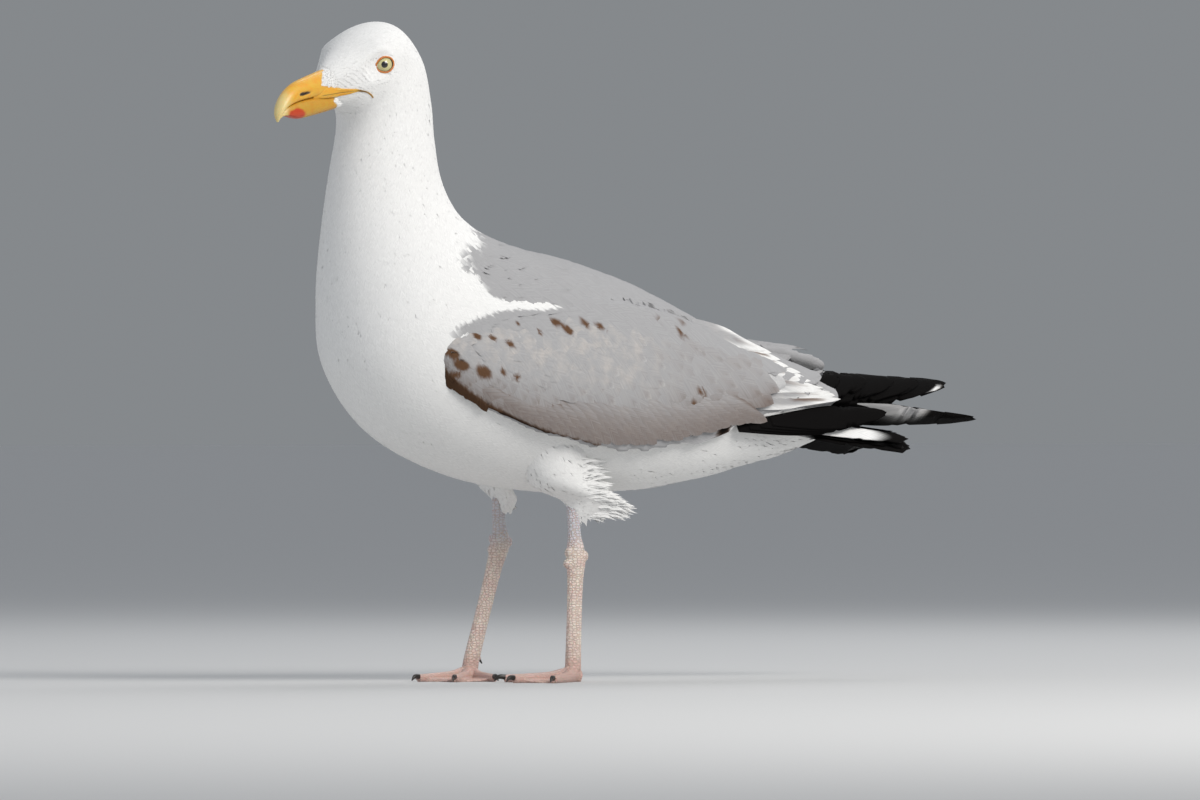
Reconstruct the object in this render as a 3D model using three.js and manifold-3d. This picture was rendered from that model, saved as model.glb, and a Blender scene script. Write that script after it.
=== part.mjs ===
// A herring gull standing on level ground, its head turned a little to its left, its wings folded.
// -Y is where the breast faces, +X is the bird's left side and +Z is up. The ground is Z = 0.
// Every sub-part is a closed solid that follows the outer face of the plumage, as the bird is seen.
import * as THREE from "three";
import { mergeVertices } from "three/addons/utils/BufferGeometryUtils.js";
import Module from "manifold-3d";

const wasm = await Module();
wasm.setup();

// ---- Driving dimensions, millimetres and degrees ----
const MID_LENGTH = 63; // from the line between the ankles back to the middle of the bird's length
const GAP = 0.4; // clearance between neighbouring solids
const NECK_AXIS_Y = -97; // upright line that the head turns about
const HEAD_TURN = 19; // how far the head looks to the bird's left
const HEAD_FROM = 0.52; // share of the body's length at which the turn begins
const HEAD_UNTIL = 0.8; // and at which it is complete
const NECK_FROM = 0.545; // the body is parted here into trunk and neck
const HEAD_PART = 0.775; // and here into neck and head
const EYE = { forward: 21.6, up: 362, across: 18.3, radius: 6.6 };
const ORBIT = { depth: 22.4, radius: 25 }; // the shallow hollow around each eye
const FEATHER_THICK = 2.2; // a folded feather with the ones under it
const WEB_THICK = 1.4;

const COLOURS = {
  white: 0xf0eeea,
  grey: 0xa3a5a8,
  black: 0x1d1917,
  bill: 0xe2a42c,
  iris: 0xd9d29a,
  skin: 0xd9b5a8,
  claw: 0x2a2420,
};

// Each station of the body is a slice from the outline of the back to the outline of the belly or throat:
// [y, z] of both, half the width, and how high the widest line lies between them.
const STATIONS = [
  { back: [214, 166], belly: [217, 147], half: 17, belt: 0.5 }, // longest tail coverts
  { back: [184, 180], belly: [190, 136], half: 23, belt: 0.52 },
  { back: [152, 198], belly: [155, 127], half: 29, belt: 0.54 }, // vent
  { back: [112, 219], belly: [110, 117], half: 39, belt: 0.55 }, // rump
  { back: [72, 236], belly: [62, 112], half: 50, belt: 0.54 },
  { back: [30, 249], belly: [8, 112], half: 58, belt: 0.53 }, // middle of the back
  { back: [-8, 257], belly: [-48, 121], half: 60, belt: 0.52 }, // shoulders
  { back: [-32, 265], belly: [-98, 144], half: 57, belt: 0.48 },
  { back: [-48, 275], belly: [-127, 180], half: 51, belt: 0.46 }, // fullest breast
  { back: [-57, 287], belly: [-133.5, 218], half: 43, belt: 0.47 },
  { back: [-62, 302], belly: [-133, 258], half: 35, belt: 0.48 },
  { back: [-64, 322], belly: [-129.5, 295], half: 29.5, belt: 0.5 }, // middle of the neck
  { back: [-65, 345], belly: [-125, 321], half: 26.5, belt: 0.5 }, // nape and throat
  { back: [-73, 370], belly: [-127, 332], half: 25.5, belt: 0.52 },
  { back: [-96, 387.3], belly: [-133, 335], half: 25, belt: 0.58 }, // crown and jaw
  { back: [-123, 381.8], belly: [-138, 336.5], half: 21.2, belt: 0.62 }, // forehead
  { back: [-148.5, 360.5], belly: [-142, 339], half: 5.6, belt: 0.5 }, // base of the bill
];

// ---- Helpers ----
const radians = THREE.MathUtils.degToRad;
const mix = THREE.MathUtils.lerp;
const smooth = THREE.MathUtils.smoothstep;

// The value at t, from 0 to 1, of a smooth curve through a list of numbers at even steps.
function through(values, t) {
  const last = values.length - 1;
  const at = Math.min(Math.max(t, 0), 1) * last;
  const i = Math.min(Math.floor(at), last - 1);
  const f = at - i;
  const p0 = values[Math.max(i - 1, 0)];
  const p1 = values[i];
  const p2 = values[i + 1];
  const p3 = values[Math.min(i + 2, last)];
  const slope1 = (p2 - p0) / 2;
  const slope2 = (p3 - p1) / 2;
  const f2 = f * f;
  const f3 = f2 * f;
  const ends = (2 * f3 - 3 * f2 + 1) * p1 + (3 * f2 - 2 * f3) * p2;
  return ends + (f3 - 2 * f2 + f) * slope1 + (f3 - f2) * slope2;
}

// A closed surface through rings of points, each end closed by a fan.
function loft(rings) {
  const around = rings[0].length;
  const points = rings.flat();
  const faces = [];
  for (let r = 0; r < rings.length - 1; r++) {
    for (let k = 0; k < around; k++) {
      const a = r * around + k;
      const b = r * around + ((k + 1) % around);
      faces.push(a, b, b + around, a, b + around, a + around);
    }
  }
  for (const [r, flip] of [[0, false], [rings.length - 1, true]]) {
    const middle = rings[r].reduce((sum, p) => sum.add(p), new THREE.Vector3()).divideScalar(around);
    points.push(middle);
    const m = points.length - 1;
    for (let k = 0; k < around; k++) {
      const a = r * around + k;
      const b = r * around + ((k + 1) % around);
      faces.push(...(flip ? [a, b, m] : [b, a, m]));
    }
  }
  const made = new THREE.BufferGeometry().setFromPoints(points);
  made.setIndex(faces);
  return made;
}

// A three.js geometry as a manifold-3d solid, turned right side out.
function solid(geometry) {
  const bare = geometry.index ? geometry.toNonIndexed() : geometry.clone();
  for (const name of Object.keys(bare.attributes)) if (name !== "position") bare.deleteAttribute(name);
  const merged = mergeVertices(bare, 1e-3);
  const triVerts = new Uint32Array(merged.index.array);
  const vertProperties = merged.attributes.position.array;
  const make = () => new wasm.Manifold(new wasm.Mesh({ numProp: 3, vertProperties, triVerts }));
  const made = make();
  if (made.volume() > 0) return made;
  for (let i = 0; i < triVerts.length; i += 3) {
    [triVerts[i + 1], triVerts[i + 2]] = [triVerts[i + 2], triVerts[i + 1]];
  }
  return make();
}

function geometryOf(made) {
  const mesh = made.getMesh();
  const places = new Float32Array(mesh.numVert * 3);
  for (let i = 0; i < mesh.numVert; i++) {
    for (let k = 0; k < 3; k++) places[3 * i + k] = mesh.vertProperties[mesh.numProp * i + k];
  }
  return new THREE.BufferGeometry()
    .setAttribute("position", new THREE.BufferAttribute(places, 3))
    .setIndex(new THREE.BufferAttribute(new Uint32Array(mesh.triVerts), 1));
}

// The same solid with its surface pushed out by a clearance.
function grown(made, by = GAP) {
  const geometry = mergeVertices(geometryOf(made), 1e-3);
  geometry.computeVertexNormals();
  const place = geometry.attributes.position;
  const normal = geometry.attributes.normal;
  for (let i = 0; i < place.count; i++) {
    place.setXYZ(
      i,
      place.getX(i) + by * normal.getX(i),
      place.getY(i) + by * normal.getY(i),
      place.getZ(i) + by * normal.getZ(i),
    );
  }
  return solid(geometry);
}

function joined(solids) {
  return solids.reduce((sum, s) => sum.add(s));
}

// The largest body of a solid, once slivers left by a cut are merged away or dropped.
function mainBody(made) {
  return solid(geometryOf(made))
    .decompose()
    .reduce((best, s) => (s.volume() > best.volume() ? s : best));
}

function cutBy(made, ...neighbours) {
  return mainBody(neighbours.reduce((left, n) => left.subtract(grown(n).add(n)), made));
}

// ---- Trunk, neck and head ----
function station(t) {
  const read = (pick) => through(STATIONS.map(pick), t);
  return {
    back: new THREE.Vector3(0, read((s) => s.back[0]), read((s) => s.back[1])),
    belly: new THREE.Vector3(0, read((s) => s.belly[0]), read((s) => s.belly[1])),
    half: read((s) => s.half),
    belt: read((s) => s.belt),
  };
}

// Turns a point of the head, or of the neck by its share of the turn, about the neck's upright line.
function turned(p, share = 1) {
  const axis = new THREE.Vector3(0, NECK_AXIS_Y, 0);
  const upright = new THREE.Vector3(0, 0, 1);
  return p.clone().sub(axis).applyAxisAngle(upright, radians(HEAD_TURN) * share).add(axis);
}

function bodyRing(t, around) {
  const s = station(t);
  const rise = s.back.clone().sub(s.belly);
  const height = rise.length();
  const up = rise.clone().normalize();
  const middle = s.belly.clone().addScaledVector(rise, s.belt);
  const share = smooth(t, HEAD_FROM, HEAD_UNTIL);
  const ring = [];
  for (let k = 0; k < around; k++) {
    const angle = (2 * Math.PI * k) / around;
    const reach = Math.cos(angle) >= 0 ? height * (1 - s.belt) : height * s.belt;
    const p = middle.clone().addScaledVector(up, Math.cos(angle) * reach);
    p.x += Math.sin(angle) * s.half;
    ring.push(turned(p, share));
  }
  return ring;
}

// A closed length of the body between two shares of it.
function bodyLength(from, to, steps, around) {
  const rings = [];
  for (let i = 0; i <= steps; i++) rings.push(bodyRing(mix(from, to, i / steps), around));
  return loft(rings);
}

// A point in the head's own terms: forward from the neck's upright line, up from the ground and
// across to its left.
function inHead(forward, up, across = 0) {
  return turned(new THREE.Vector3(across, NECK_AXIS_Y - forward, up));
}

const PART_STEP = 0.006; // share of the body's length lost to each thin cut
const trunkRaw = solid(bodyLength(0, NECK_FROM - PART_STEP, 16, 22));
const neckRaw = solid(bodyLength(NECK_FROM + PART_STEP, HEAD_PART - PART_STEP, 7, 22));
const headRaw = solid(bodyLength(HEAD_PART + PART_STEP, 1, 11, 20));

// ---- Bill ----
// Outlines in the head's own terms, as [forward, up] from the base to the tip.
const CULMEN = [
  [46, 362], [53, 359.5], [70, 354.6], [82, 350.5], [90, 345.3], [95, 339], [97.3, 332.5], [96.5, 327.5],
];
const CUTTING_EDGE = [
  [36, 347.2], [46, 345.6], [62, 343.2], [75, 341], [84, 338.8], [90.5, 336], [94, 332], [95.6, 328],
];
const GONYS = [
  [40, 338], [48, 335.6], [58, 333.4], [68, 331.4], [77, 329.9], [82.5, 330], [88, 331.4], [92.5, 333.6],
];
const UPPER_HALF = [9.5, 7.6, 6.3, 5.5, 4.9, 4.1, 2.8, 0.7]; // half the width of the upper half of the bill
const LOWER_HALF = [7.1, 6.5, 5.4, 4.7, 4.2, 3.5, 2.4, 0.6]; // and of the lower half

function billRings(upper, lower, halves, around) {
  const rings = [];
  const steps = 9;
  for (let i = 0; i <= steps; i++) {
    const t = i / steps;
    const at = (line, k) => through(line.map((p) => p[k]), t);
    const half = through(halves, t);
    const ring = [];
    for (let k = 0; k < around; k++) {
      const angle = (2 * Math.PI * k) / around;
      const share = (1 + Math.cos(angle)) / 2;
      ring.push(
        inHead(
          mix(at(lower, 0), at(upper, 0), share),
          mix(at(lower, 1), at(upper, 1), share),
          Math.sin(angle) * half,
        ),
      );
    }
    rings.push(ring);
  }
  return loft(rings);
}

const lowered = CUTTING_EDGE.map(([forward, up]) => [forward, up - GAP]);
const billUpper = solid(billRings(CULMEN, CUTTING_EDGE, UPPER_HALF, 10));
const billLower = cutBy(solid(billRings(lowered, GONYS, LOWER_HALF, 10)), billUpper);

// ---- Eyes ----
// A ball level with the eye, its centre this far out from the middle of the head.
function ballAtEye(side, across, radius) {
  const ball = new THREE.SphereGeometry(radius, 14, 10);
  const centre = inHead(EYE.forward, EYE.up, side * across);
  ball.rotateZ(radians(90));
  ball.translate(centre.x, centre.y, centre.z);
  return solid(ball);
}
const eyes = {
  left: ballAtEye(1, EYE.across, EYE.radius),
  right: ballAtEye(-1, EYE.across, EYE.radius),
};
const hollows = [1, -1].map((side) => ballAtEye(side, ORBIT.depth + ORBIT.radius, ORBIT.radius));
const hollowed = hollows.reduce((left, hollow) => left.subtract(hollow), headRaw);
const head = cutBy(hollowed, billUpper, billLower, eyes.left, eyes.right);

// ---- Wings ----
// The folded arm with its coverts, and the tertials behind them, as slices of a pad along the flank:
// how far back, the upper and lower edges as [out from the middle, up], and how far the pad swells
// between them.
const WING = [
  { y: -90, top: [44, 205], low: [47, 188], swell: 3 }, // bend of the wing
  { y: -80, top: [50, 209], low: [53, 174], swell: 6 },
  { y: -58, top: [51, 217], low: [55, 160], swell: 9 },
  { y: -24, top: [49, 223], low: [56, 146], swell: 11 },
  { y: 10, top: [47, 226], low: [54, 138], swell: 12 },
  { y: 42, top: [44, 225], low: [51, 134], swell: 12 },
  { y: 72, top: [39, 221], low: [47, 136], swell: 11 },
  { y: 102, top: [33, 214], low: [42, 142], swell: 10 },
  { y: 132, top: [25, 206], low: [37, 150], swell: 9 },
  { y: 162, top: [17, 197], low: [31, 158], swell: 7 },
  { y: 192, top: [12, 187], low: [27, 163], swell: 4.5 },
  { y: 216, top: [13, 178], low: [24, 166], swell: 2.5 }, // tips of the tertials
];
const WING_DEPTH = 9; // how far the pad reaches in towards the body behind its edges
const TERTIALS_FROM = 104;
const RIGHT_LIFT = 15; // the right wing is held higher behind, and reaches a little further back
const RIGHT_REACH = 11;

function wingPad(side) {
  const rings = [];
  const steps = 17;
  const across = 6;
  for (let i = 0; i <= steps; i++) {
    const t = i / steps;
    const read = (pick) => through(WING.map(pick), t);
    const y0 = read((s) => s.y);
    const raised = side < 0 ? 1 : 0;
    const y = y0 + raised * RIGHT_REACH * smooth(y0, TERTIALS_FROM, 216);
    const lift = raised * RIGHT_LIFT * smooth(y0, TERTIALS_FROM, 216);
    const top = new THREE.Vector2(read((s) => s.top[0]), read((s) => s.top[1]) + lift);
    const low = new THREE.Vector2(read((s) => s.low[0]), read((s) => s.low[1]) + lift);
    const swell = read((s) => s.swell);
    const along = top.clone().sub(low).normalize();
    const out = new THREE.Vector2(along.y, -along.x);
    const slice = [];
    const put = (share, reach) => {
      const p = low.clone().lerp(top, share).addScaledVector(out, reach * Math.sin(Math.PI * share) ** 0.8);
      slice.push(new THREE.Vector3(side * p.x, y, p.y));
    };
    for (let k = 0; k <= across; k++) put(k / across, swell);
    for (let k = across - 1; k > 0; k--) put(k / across, -Math.min(WING_DEPTH, swell + 2));
    rings.push(slice);
  }
  return solid(loft(rings));
}

// One folded feather: a long round-ended blade from root to tip, its broad side towards facing.
function blade(root, tip, width, facing, pointed = 0.5, thick = FEATHER_THICK) {
  const length = root.distanceTo(tip);
  const half = width / 2;
  const shape = new THREE.Shape();
  const shoulder = length - width * (0.55 + pointed);
  shape.moveTo(0, -half * 0.5);
  shape.lineTo(shoulder, -half);
  shape.bezierCurveTo(mix(shoulder, length, 0.6), -half, length, -half * 0.45, length, 0);
  shape.bezierCurveTo(length, half * 0.45, mix(shoulder, length, 0.6), half, shoulder, half);
  shape.lineTo(0, half * 0.5);
  const made = new THREE.ExtrudeGeometry(shape, { depth: thick, bevelEnabled: false, curveSegments: 2 });
  made.translate(0, 0, -thick / 2);
  const x = tip.clone().sub(root).normalize();
  const z = facing.clone().addScaledVector(x, -facing.dot(x)).normalize();
  const y = z.clone().cross(x);
  made.applyMatrix4(new THREE.Matrix4().makeBasis(x, y, z).setPosition(root));
  return solid(made);
}

// The wing tips cross over the tail, the left one on top. lean is how far the vanes slope outwards
// from level.
const PRIMARIES = {
  left: { tip: [-13, 313, 176], root: [21, 158, 169], count: 6, lean: 52 },
  right: { tip: [-17, 315, 154], root: [22, 178, 160], count: 4, lean: 20 },
};
const PRIMARY_STEP = 24; // how much shorter each next primary is
const PRIMARY_WIDTH = 25;

function primaries(side, { tip, root, count, lean }) {
  const end = new THREE.Vector3(side * tip[0], tip[1], tip[2]);
  const start = new THREE.Vector3(side * root[0], root[1], root[2]);
  const along = end.clone().sub(start).normalize();
  const facing = new THREE.Vector3(side * Math.sin(radians(lean)), 0, Math.cos(radians(lean)));
  const blades = [];
  for (let i = 0; i < count; i++) {
    const offset = facing.clone().multiplyScalar(i * FEATHER_THICK * 0.6);
    offset.z += i * 0.9;
    blades.push(
      blade(
        start.clone().add(offset),
        end.clone().addScaledVector(along, -i * PRIMARY_STEP).add(offset),
        PRIMARY_WIDTH,
        facing,
      ),
    );
  }
  return joined(blades);
}

// ---- Tail ----
const TAIL = {
  root: [0, 150, 158],
  tip: [0, 266, 146],
  pairs: 6,
  spread: 4.6, // how much further out each next tip lies
  droop: 1.9, // and how much lower
  width: 27,
  lean: 6, // degrees that each next feather slopes outwards from level
};

function tailFan() {
  const blades = [];
  for (let i = 0; i < TAIL.pairs; i++) {
    for (const side of [1, -1]) {
      const under = -i * FEATHER_THICK * 0.75;
      const root = new THREE.Vector3(side * i * 1.6, TAIL.root[1], TAIL.root[2] + under * 0.6);
      const tip = new THREE.Vector3(
        side * (3 + i * TAIL.spread),
        TAIL.tip[1] - i * 0.8,
        TAIL.tip[2] - i * TAIL.droop,
      );
      const lean = radians(4 + i * TAIL.lean);
      const facing = new THREE.Vector3(side * Math.sin(lean), 0, Math.cos(lean));
      blades.push(blade(root, tip, TAIL.width, facing, 0.1));
    }
  }
  return joined(blades);
}

// ---- Legs and feet ----
// A limb is a tube along points [x, y, z, half width, half depth].
function limb(points, steps, around) {
  const path = new THREE.CatmullRomCurve3(points.map(([x, y, z]) => new THREE.Vector3(x, y, z)));
  const rings = [];
  for (let i = 0; i <= steps; i++) {
    const t = i / steps;
    const centre = path.getPoint(t);
    const along = path.getTangent(t).normalize();
    const guide = Math.abs(along.z) > 0.8 ? new THREE.Vector3(0, 1, 0) : new THREE.Vector3(0, 0, 1);
    const sideways = guide.clone().cross(along).normalize();
    const other = along.clone().cross(sideways);
    const wide = through(points.map((p) => p[3]), t);
    const deep = through(points.map((p) => p[4]), t);
    const ring = [];
    for (let k = 0; k < around; k++) {
      const angle = (2 * Math.PI * k) / around;
      ring.push(
        centre
          .clone()
          .addScaledVector(sideways, Math.cos(angle) * wide)
          .addScaledVector(other, Math.sin(angle) * deep),
      );
    }
    rings.push(ring);
  }
  return solid(loft(rings));
}

const LEGS = {
  left: {
    hip: [27, 1, 128], // where the thigh leaves the belly
    cuff: [27, 19.5, 101], // where its feathers end
    ankle: [27, 21.5, 73],
    ball: [27, 19.5, 9], // ball of the foot
    heading: 17, // degrees to the bird's left of straight ahead that the middle toe points
    tuft: 17.5, // reach of the thigh's feathers
  },
  right: {
    hip: [-38, 2, 128],
    cuff: [-38, 9, 97],
    ankle: [-38, 10, 81],
    ball: [-38, -11, 9],
    heading: 48,
    tuft: 8,
  },
};
const TOES = [
  { name: "inner", length: 43, angle: 29 },
  { name: "middle", length: 54, angle: 0 },
  { name: "outer", length: 51, angle: -27 },
];
const CLAW_LENGTH = 6.5;
const HEEL = 5; // how far the sole reaches behind the tarsus
const FOOT_TOP = 12; // where the foot joins the tarsus
// Along a toe: share of its length, height of its middle, half its width, half its depth.
const TOE_SHAPE = [
  [0, 2.6, 3, 3.4],
  [0.16, 4, 4.2, 4.6],
  [0.4, 2.8, 3.1, 3.4],
  [0.7, 2.4, 2.7, 2.8],
  [1, 2.2, 2.3, 2.3],
];

function legSolids(side, leg) {
  const [hx, hy, hz] = leg.hip;
  const [cx, cy, cz] = leg.cuff;
  const [ax, ay, az] = leg.ankle;
  const [bx, by, bz] = leg.ball;
  const thigh = limb(
    [
      [hx, hy, hz + 14, 19, 25],
      [hx, mix(hy, cy, 0.5), mix(hz, cz, 0.4), 15, leg.tuft + 2],
      [cx, cy + leg.tuft * 0.6, mix(hz, cz, 0.78), 9.5, leg.tuft],
      [cx, cy + leg.tuft * 0.6, cz - 1.5, 4.5, leg.tuft * 0.74],
    ],
    7,
    14,
  );
  const shank = limb(
    [
      [cx, cy, cz - 1.5 - GAP, 3.2, 4],
      [mix(cx, ax, 0.5), mix(cy, ay, 0.5), mix(cz, az, 0.5), 3.4, 4.4],
      [ax, ay, az, 4.8, 6.4],
      [mix(ax, bx, 0.2), mix(ay, by, 0.2), mix(az, bz, 0.2), 3.5, 5.2],
      [mix(ax, bx, 0.55), mix(ay, by, 0.55), mix(az, bz, 0.55), 3.2, 4.9],
      [bx, mix(ay, by, 0.97), FOOT_TOP + GAP, 3.9, 5],
    ],
    12,
    8,
  );
  // Toes fan out from the ball of the foot; a heading of 0 points along -Y.
  const pointing = (degrees) => {
    const a = radians(degrees);
    return new THREE.Vector3(Math.sin(a), -Math.cos(a), 0);
  };
  const toes = [
    limb(
      [
        [bx, by, FOOT_TOP, 3.9, 5],
        [bx, by, FOOT_TOP * 0.6, 4.5, 5],
        [bx, by, 1.5, 4.2, 4.2],
      ],
      3,
      8,
    ),
  ];
  const claws = {};
  const tips = [];
  for (const toe of TOES) {
    const way = pointing(leg.heading - side * toe.angle);
    const at = (reach, up) => new THREE.Vector3(bx, by, up).addScaledVector(way, reach);
    const points = TOE_SHAPE.map(([share, up, half, deep]) => {
      const p = at(mix(-HEEL, toe.length, share), up);
      return [p.x, p.y, p.z, half, deep];
    });
    toes.push(limb(points, 5, 7));
    tips.push(at(toe.length * 0.93, 0));
    const from = at(toe.length - 0.6, 2.9);
    const bend = at(toe.length + CLAW_LENGTH * 0.55, 3.2);
    const tip = at(toe.length + CLAW_LENGTH, 0.9);
    claws[toe.name] = limb(
      [
        [from.x, from.y, from.z, 1.5, 1.6],
        [bend.x, bend.y, bend.z, 1.1, 1.3],
        [tip.x, tip.y, tip.z, 0.35, 0.4],
      ],
      4,
      6,
    );
  }
  // The web hangs between the toes, its front edges drawn back in a curve.
  const web = new THREE.Shape();
  const draw = (from, to) => {
    const inward = 0.76;
    web.quadraticCurveTo(
      mix(bx, (from.x + to.x) / 2, inward),
      mix(by, (from.y + to.y) / 2, inward),
      to.x,
      to.y,
    );
  };
  web.moveTo(bx, by);
  web.lineTo(tips[0].x, tips[0].y);
  draw(tips[0], tips[1]);
  draw(tips[1], tips[2]);
  web.closePath();
  const sheet = new THREE.ExtrudeGeometry(web, { depth: WEB_THICK, bevelEnabled: false, curveSegments: 3 });
  const back = pointing(leg.heading + 180 + side * 22);
  const hindRoot = new THREE.Vector3(bx, by, 17).addScaledVector(back, 2);
  const hindTip = new THREE.Vector3(bx, by, 12.5).addScaledVector(back, 10.5);
  const hindBend = hindRoot.clone().lerp(hindTip, 0.6);
  hindBend.z += 0.7;
  const hindClaw = new THREE.Vector3(bx, by, 10).addScaledVector(back, 13.5);
  const hind = limb(
    [
      [hindRoot.x, hindRoot.y, hindRoot.z, 2, 2.2],
      [hindBend.x, hindBend.y, hindBend.z, 1.9, 2],
      [hindTip.x, hindTip.y, hindTip.z, 1.3, 1.4],
    ],
    4,
    8,
  );
  claws.hind = limb(
    [
      [hindTip.x, hindTip.y, hindTip.z + 0.4, 1.1, 1.1],
      [hindClaw.x, hindClaw.y, hindClaw.z, 0.4, 0.4],
    ],
    2,
    6,
  );
  // Everything that would reach below the ground is cut flat, so that the sole rests on it.
  const slab = new THREE.BoxGeometry(400, 400, 40);
  slab.translate(0, 0, -20);
  const foot = mainBody(joined([...toes, solid(sheet)]).subtract(solid(slab)));
  return { thigh, shank, foot, hind, claws, slab: solid(slab) };
}

// ---- Assembly ----
const group = new THREE.Group();
group.position.y = -MID_LENGTH;

function put(name, made, colour, roughness = 0.85) {
  const geometry = geometryOf(made).toNonIndexed();
  geometry.computeVertexNormals();
  const finish = new THREE.MeshStandardMaterial({ color: COLOURS[colour], roughness, metalness: 0 });
  const mesh = new THREE.Mesh(geometry, finish);
  mesh.name = name;
  group.add(mesh);
  return made;
}

put("trunk", trunkRaw, "white");
put("neck", neckRaw, "white");
put("head", head, "white");
put("bill_upper", billUpper, "bill", 0.4);
put("bill_lower", billLower, "bill", 0.4);

const tail = cutBy(tailFan(), trunkRaw);
put("tail", tail, "white");

const folded = [];
for (const [name, side] of [["left", 1], ["right", -1]]) {
  put(`eye_${name}`, eyes[name], "iris", 0.1);
  const pad = wingPad(side);
  const coverts = cutBy(pad.trimByPlane([0, -1, 0], -(TERTIALS_FROM - GAP / 2)), trunkRaw);
  const tertials = cutBy(pad.trimByPlane([0, 1, 0], TERTIALS_FROM + GAP / 2), trunkRaw, ...folded);
  const quills = cutBy(primaries(side, PRIMARIES[name]), trunkRaw, tail, coverts, tertials, ...folded);
  folded.push(tertials, quills);
  put(`wing_${name}_coverts`, coverts, "grey");
  put(`wing_${name}_tertials`, tertials, "grey");
  put(`wing_${name}_primaries`, quills, "black");

  const leg = legSolids(side, LEGS[name]);
  const shank = leg.shank;
  const thigh = cutBy(leg.thigh, trunkRaw, coverts, shank);
  const foot = cutBy(leg.foot, shank);
  const hind = cutBy(leg.hind, shank);
  put(`thigh_${name}`, thigh, "white");
  put(`shank_${name}`, shank, "skin");
  put(`foot_${name}`, foot, "skin");
  put(`hind_toe_${name}`, hind, "skin");
  for (const [toe, claw] of Object.entries(leg.claws)) {
    const cut = cutBy(claw, toe === "hind" ? hind : foot);
    put(`claw_${name}_${toe}`, mainBody(cut.subtract(leg.slab)), "claw", 0.5);
  }
}

export default group;
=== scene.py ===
"""A herring gull, standing: one skin, the feathers that lie over it, bill, eyes, legs, feet and a plain stage.

The gull faces -Y, its left side is +X and the floor is Z = 0. Shapes are worked out in millimetres by the same rules
as the frame's solids, and put into their meshes in metres.
"""

import bmesh
import bpy
import numpy as np
from bpy.props import FloatProperty, FloatVectorProperty, PointerProperty
from bpy.types import Operator, Panel, PropertyGroup
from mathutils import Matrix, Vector
from mathutils.bvhtree import BVHTree


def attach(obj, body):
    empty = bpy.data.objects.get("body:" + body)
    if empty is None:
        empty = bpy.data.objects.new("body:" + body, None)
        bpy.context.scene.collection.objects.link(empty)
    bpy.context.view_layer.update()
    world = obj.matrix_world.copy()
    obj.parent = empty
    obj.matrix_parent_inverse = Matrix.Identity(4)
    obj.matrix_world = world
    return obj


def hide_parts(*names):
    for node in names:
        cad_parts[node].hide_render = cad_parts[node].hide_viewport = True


bl_info = {
    "name": "Herring gull",
    "version": (1, 0, 0),
    "blender": (4, 5, 0),
    "location": "View3D > Sidebar > Gull",
    "description": "Builds a standing herring gull, feather by feather",
    "category": "Object",
}

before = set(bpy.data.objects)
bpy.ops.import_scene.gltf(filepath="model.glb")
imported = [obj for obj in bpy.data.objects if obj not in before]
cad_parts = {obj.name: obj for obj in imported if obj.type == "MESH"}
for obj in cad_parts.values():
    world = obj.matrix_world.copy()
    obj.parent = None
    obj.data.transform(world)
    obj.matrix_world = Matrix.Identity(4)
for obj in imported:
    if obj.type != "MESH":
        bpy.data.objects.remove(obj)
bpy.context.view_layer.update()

MM = 0.001
SIDES = (("left", 1), ("right", -1))
SEED = 11
CHANCE = 1.618  # spreads the feathers' own numbers into shares that look random
GOLDEN = 0.61803399  # the golden ratio's part below one, which keeps neighbours apart

# ---- The frame's own measures, millimetres ----
MID_LENGTH = 63
NECK_AXIS_Y = -97
HEAD_TURN = np.radians(19)
HEAD_FROM, HEAD_UNTIL = 0.52, 0.8
EYE_FORWARD, EYE_UP, EYE_ACROSS, EYE_RADIUS = 21.6, 362, 18.3, 6.6
OPENING_FORWARD = np.radians(32)  # how far the opening between the lids faces forward
ORBIT_OUT, ORBIT_RADIUS, ORBIT_RIM = 4.2, 25, 1.3
# Slices of the body from the tail to the bill: back y and z, belly y and z, half the width, and the share of the
# height at which it is widest.
# The last slice is the feather line at the base of the bill, fuller than the solid head's.
STATIONS = np.array([
    (214, 166, 217, 147, 17, 0.5),
    (184, 180, 190, 136, 23, 0.52),
    (152, 198, 155, 127, 29, 0.54),
    (112, 219, 110, 117, 39, 0.55),
    (72, 236, 62, 112, 50, 0.54),
    (30, 249, 8, 112, 58, 0.53),
    (-8, 257, -48, 121, 60, 0.52),
    (-32, 265, -98, 144, 57, 0.48),
    (-48, 275, -127, 180, 51, 0.46),
    (-57, 287, -133.5, 218, 43, 0.47),
    (-62, 302, -133, 258, 35, 0.48),
    (-64, 322, -129.5, 295, 29.5, 0.5),
    (-65, 345, -125, 321, 26.5, 0.5),
    (-73, 370, -127, 332, 25.5, 0.52),
    (-96, 387.3, -133, 335, 25, 0.58),
    (-123, 381.8, -138, 336.5, 21.2, 0.62),
    (-152.5, 359.4, -146, 338.5, 7.3, 0.62),
])
# Slices of the folded wing from its bend back: y, upper edge out and up, lower edge out and up, swell between them.
WING = np.array([
    (-90, 44, 205, 47, 188, 3),
    (-80, 50, 209, 53, 174, 6),
    (-58, 51, 217, 55, 160, 9),
    (-24, 49, 223, 56, 146, 11),
    (10, 47, 226, 54, 138, 12),
    (42, 44, 225, 51, 134, 12),
    (72, 39, 221, 47, 136, 11),
    (102, 33, 214, 42, 142, 10),
    (132, 25, 206, 37, 150, 9),
    (162, 17, 197, 31, 158, 7),
    (192, 12, 187, 27, 163, 4.5),
    (216, 13, 178, 24, 166, 2.5),
])
TERTIALS_FROM, WING_END = 104, 216
WING_LONG = 306
RIGHT_LIFT, RIGHT_REACH = 15, 11
CULMEN = ((46, 362), (53, 359.5), (70, 354.6), (82, 350.5), (90, 345.3), (95, 339), (97.3, 332.5), (96.5, 327.5))
CUTTING_EDGE = ((36, 347.2), (46, 345.6), (62, 343.2), (75, 341), (84, 338.8), (90.5, 336), (94, 332), (95.6, 328))
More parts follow.
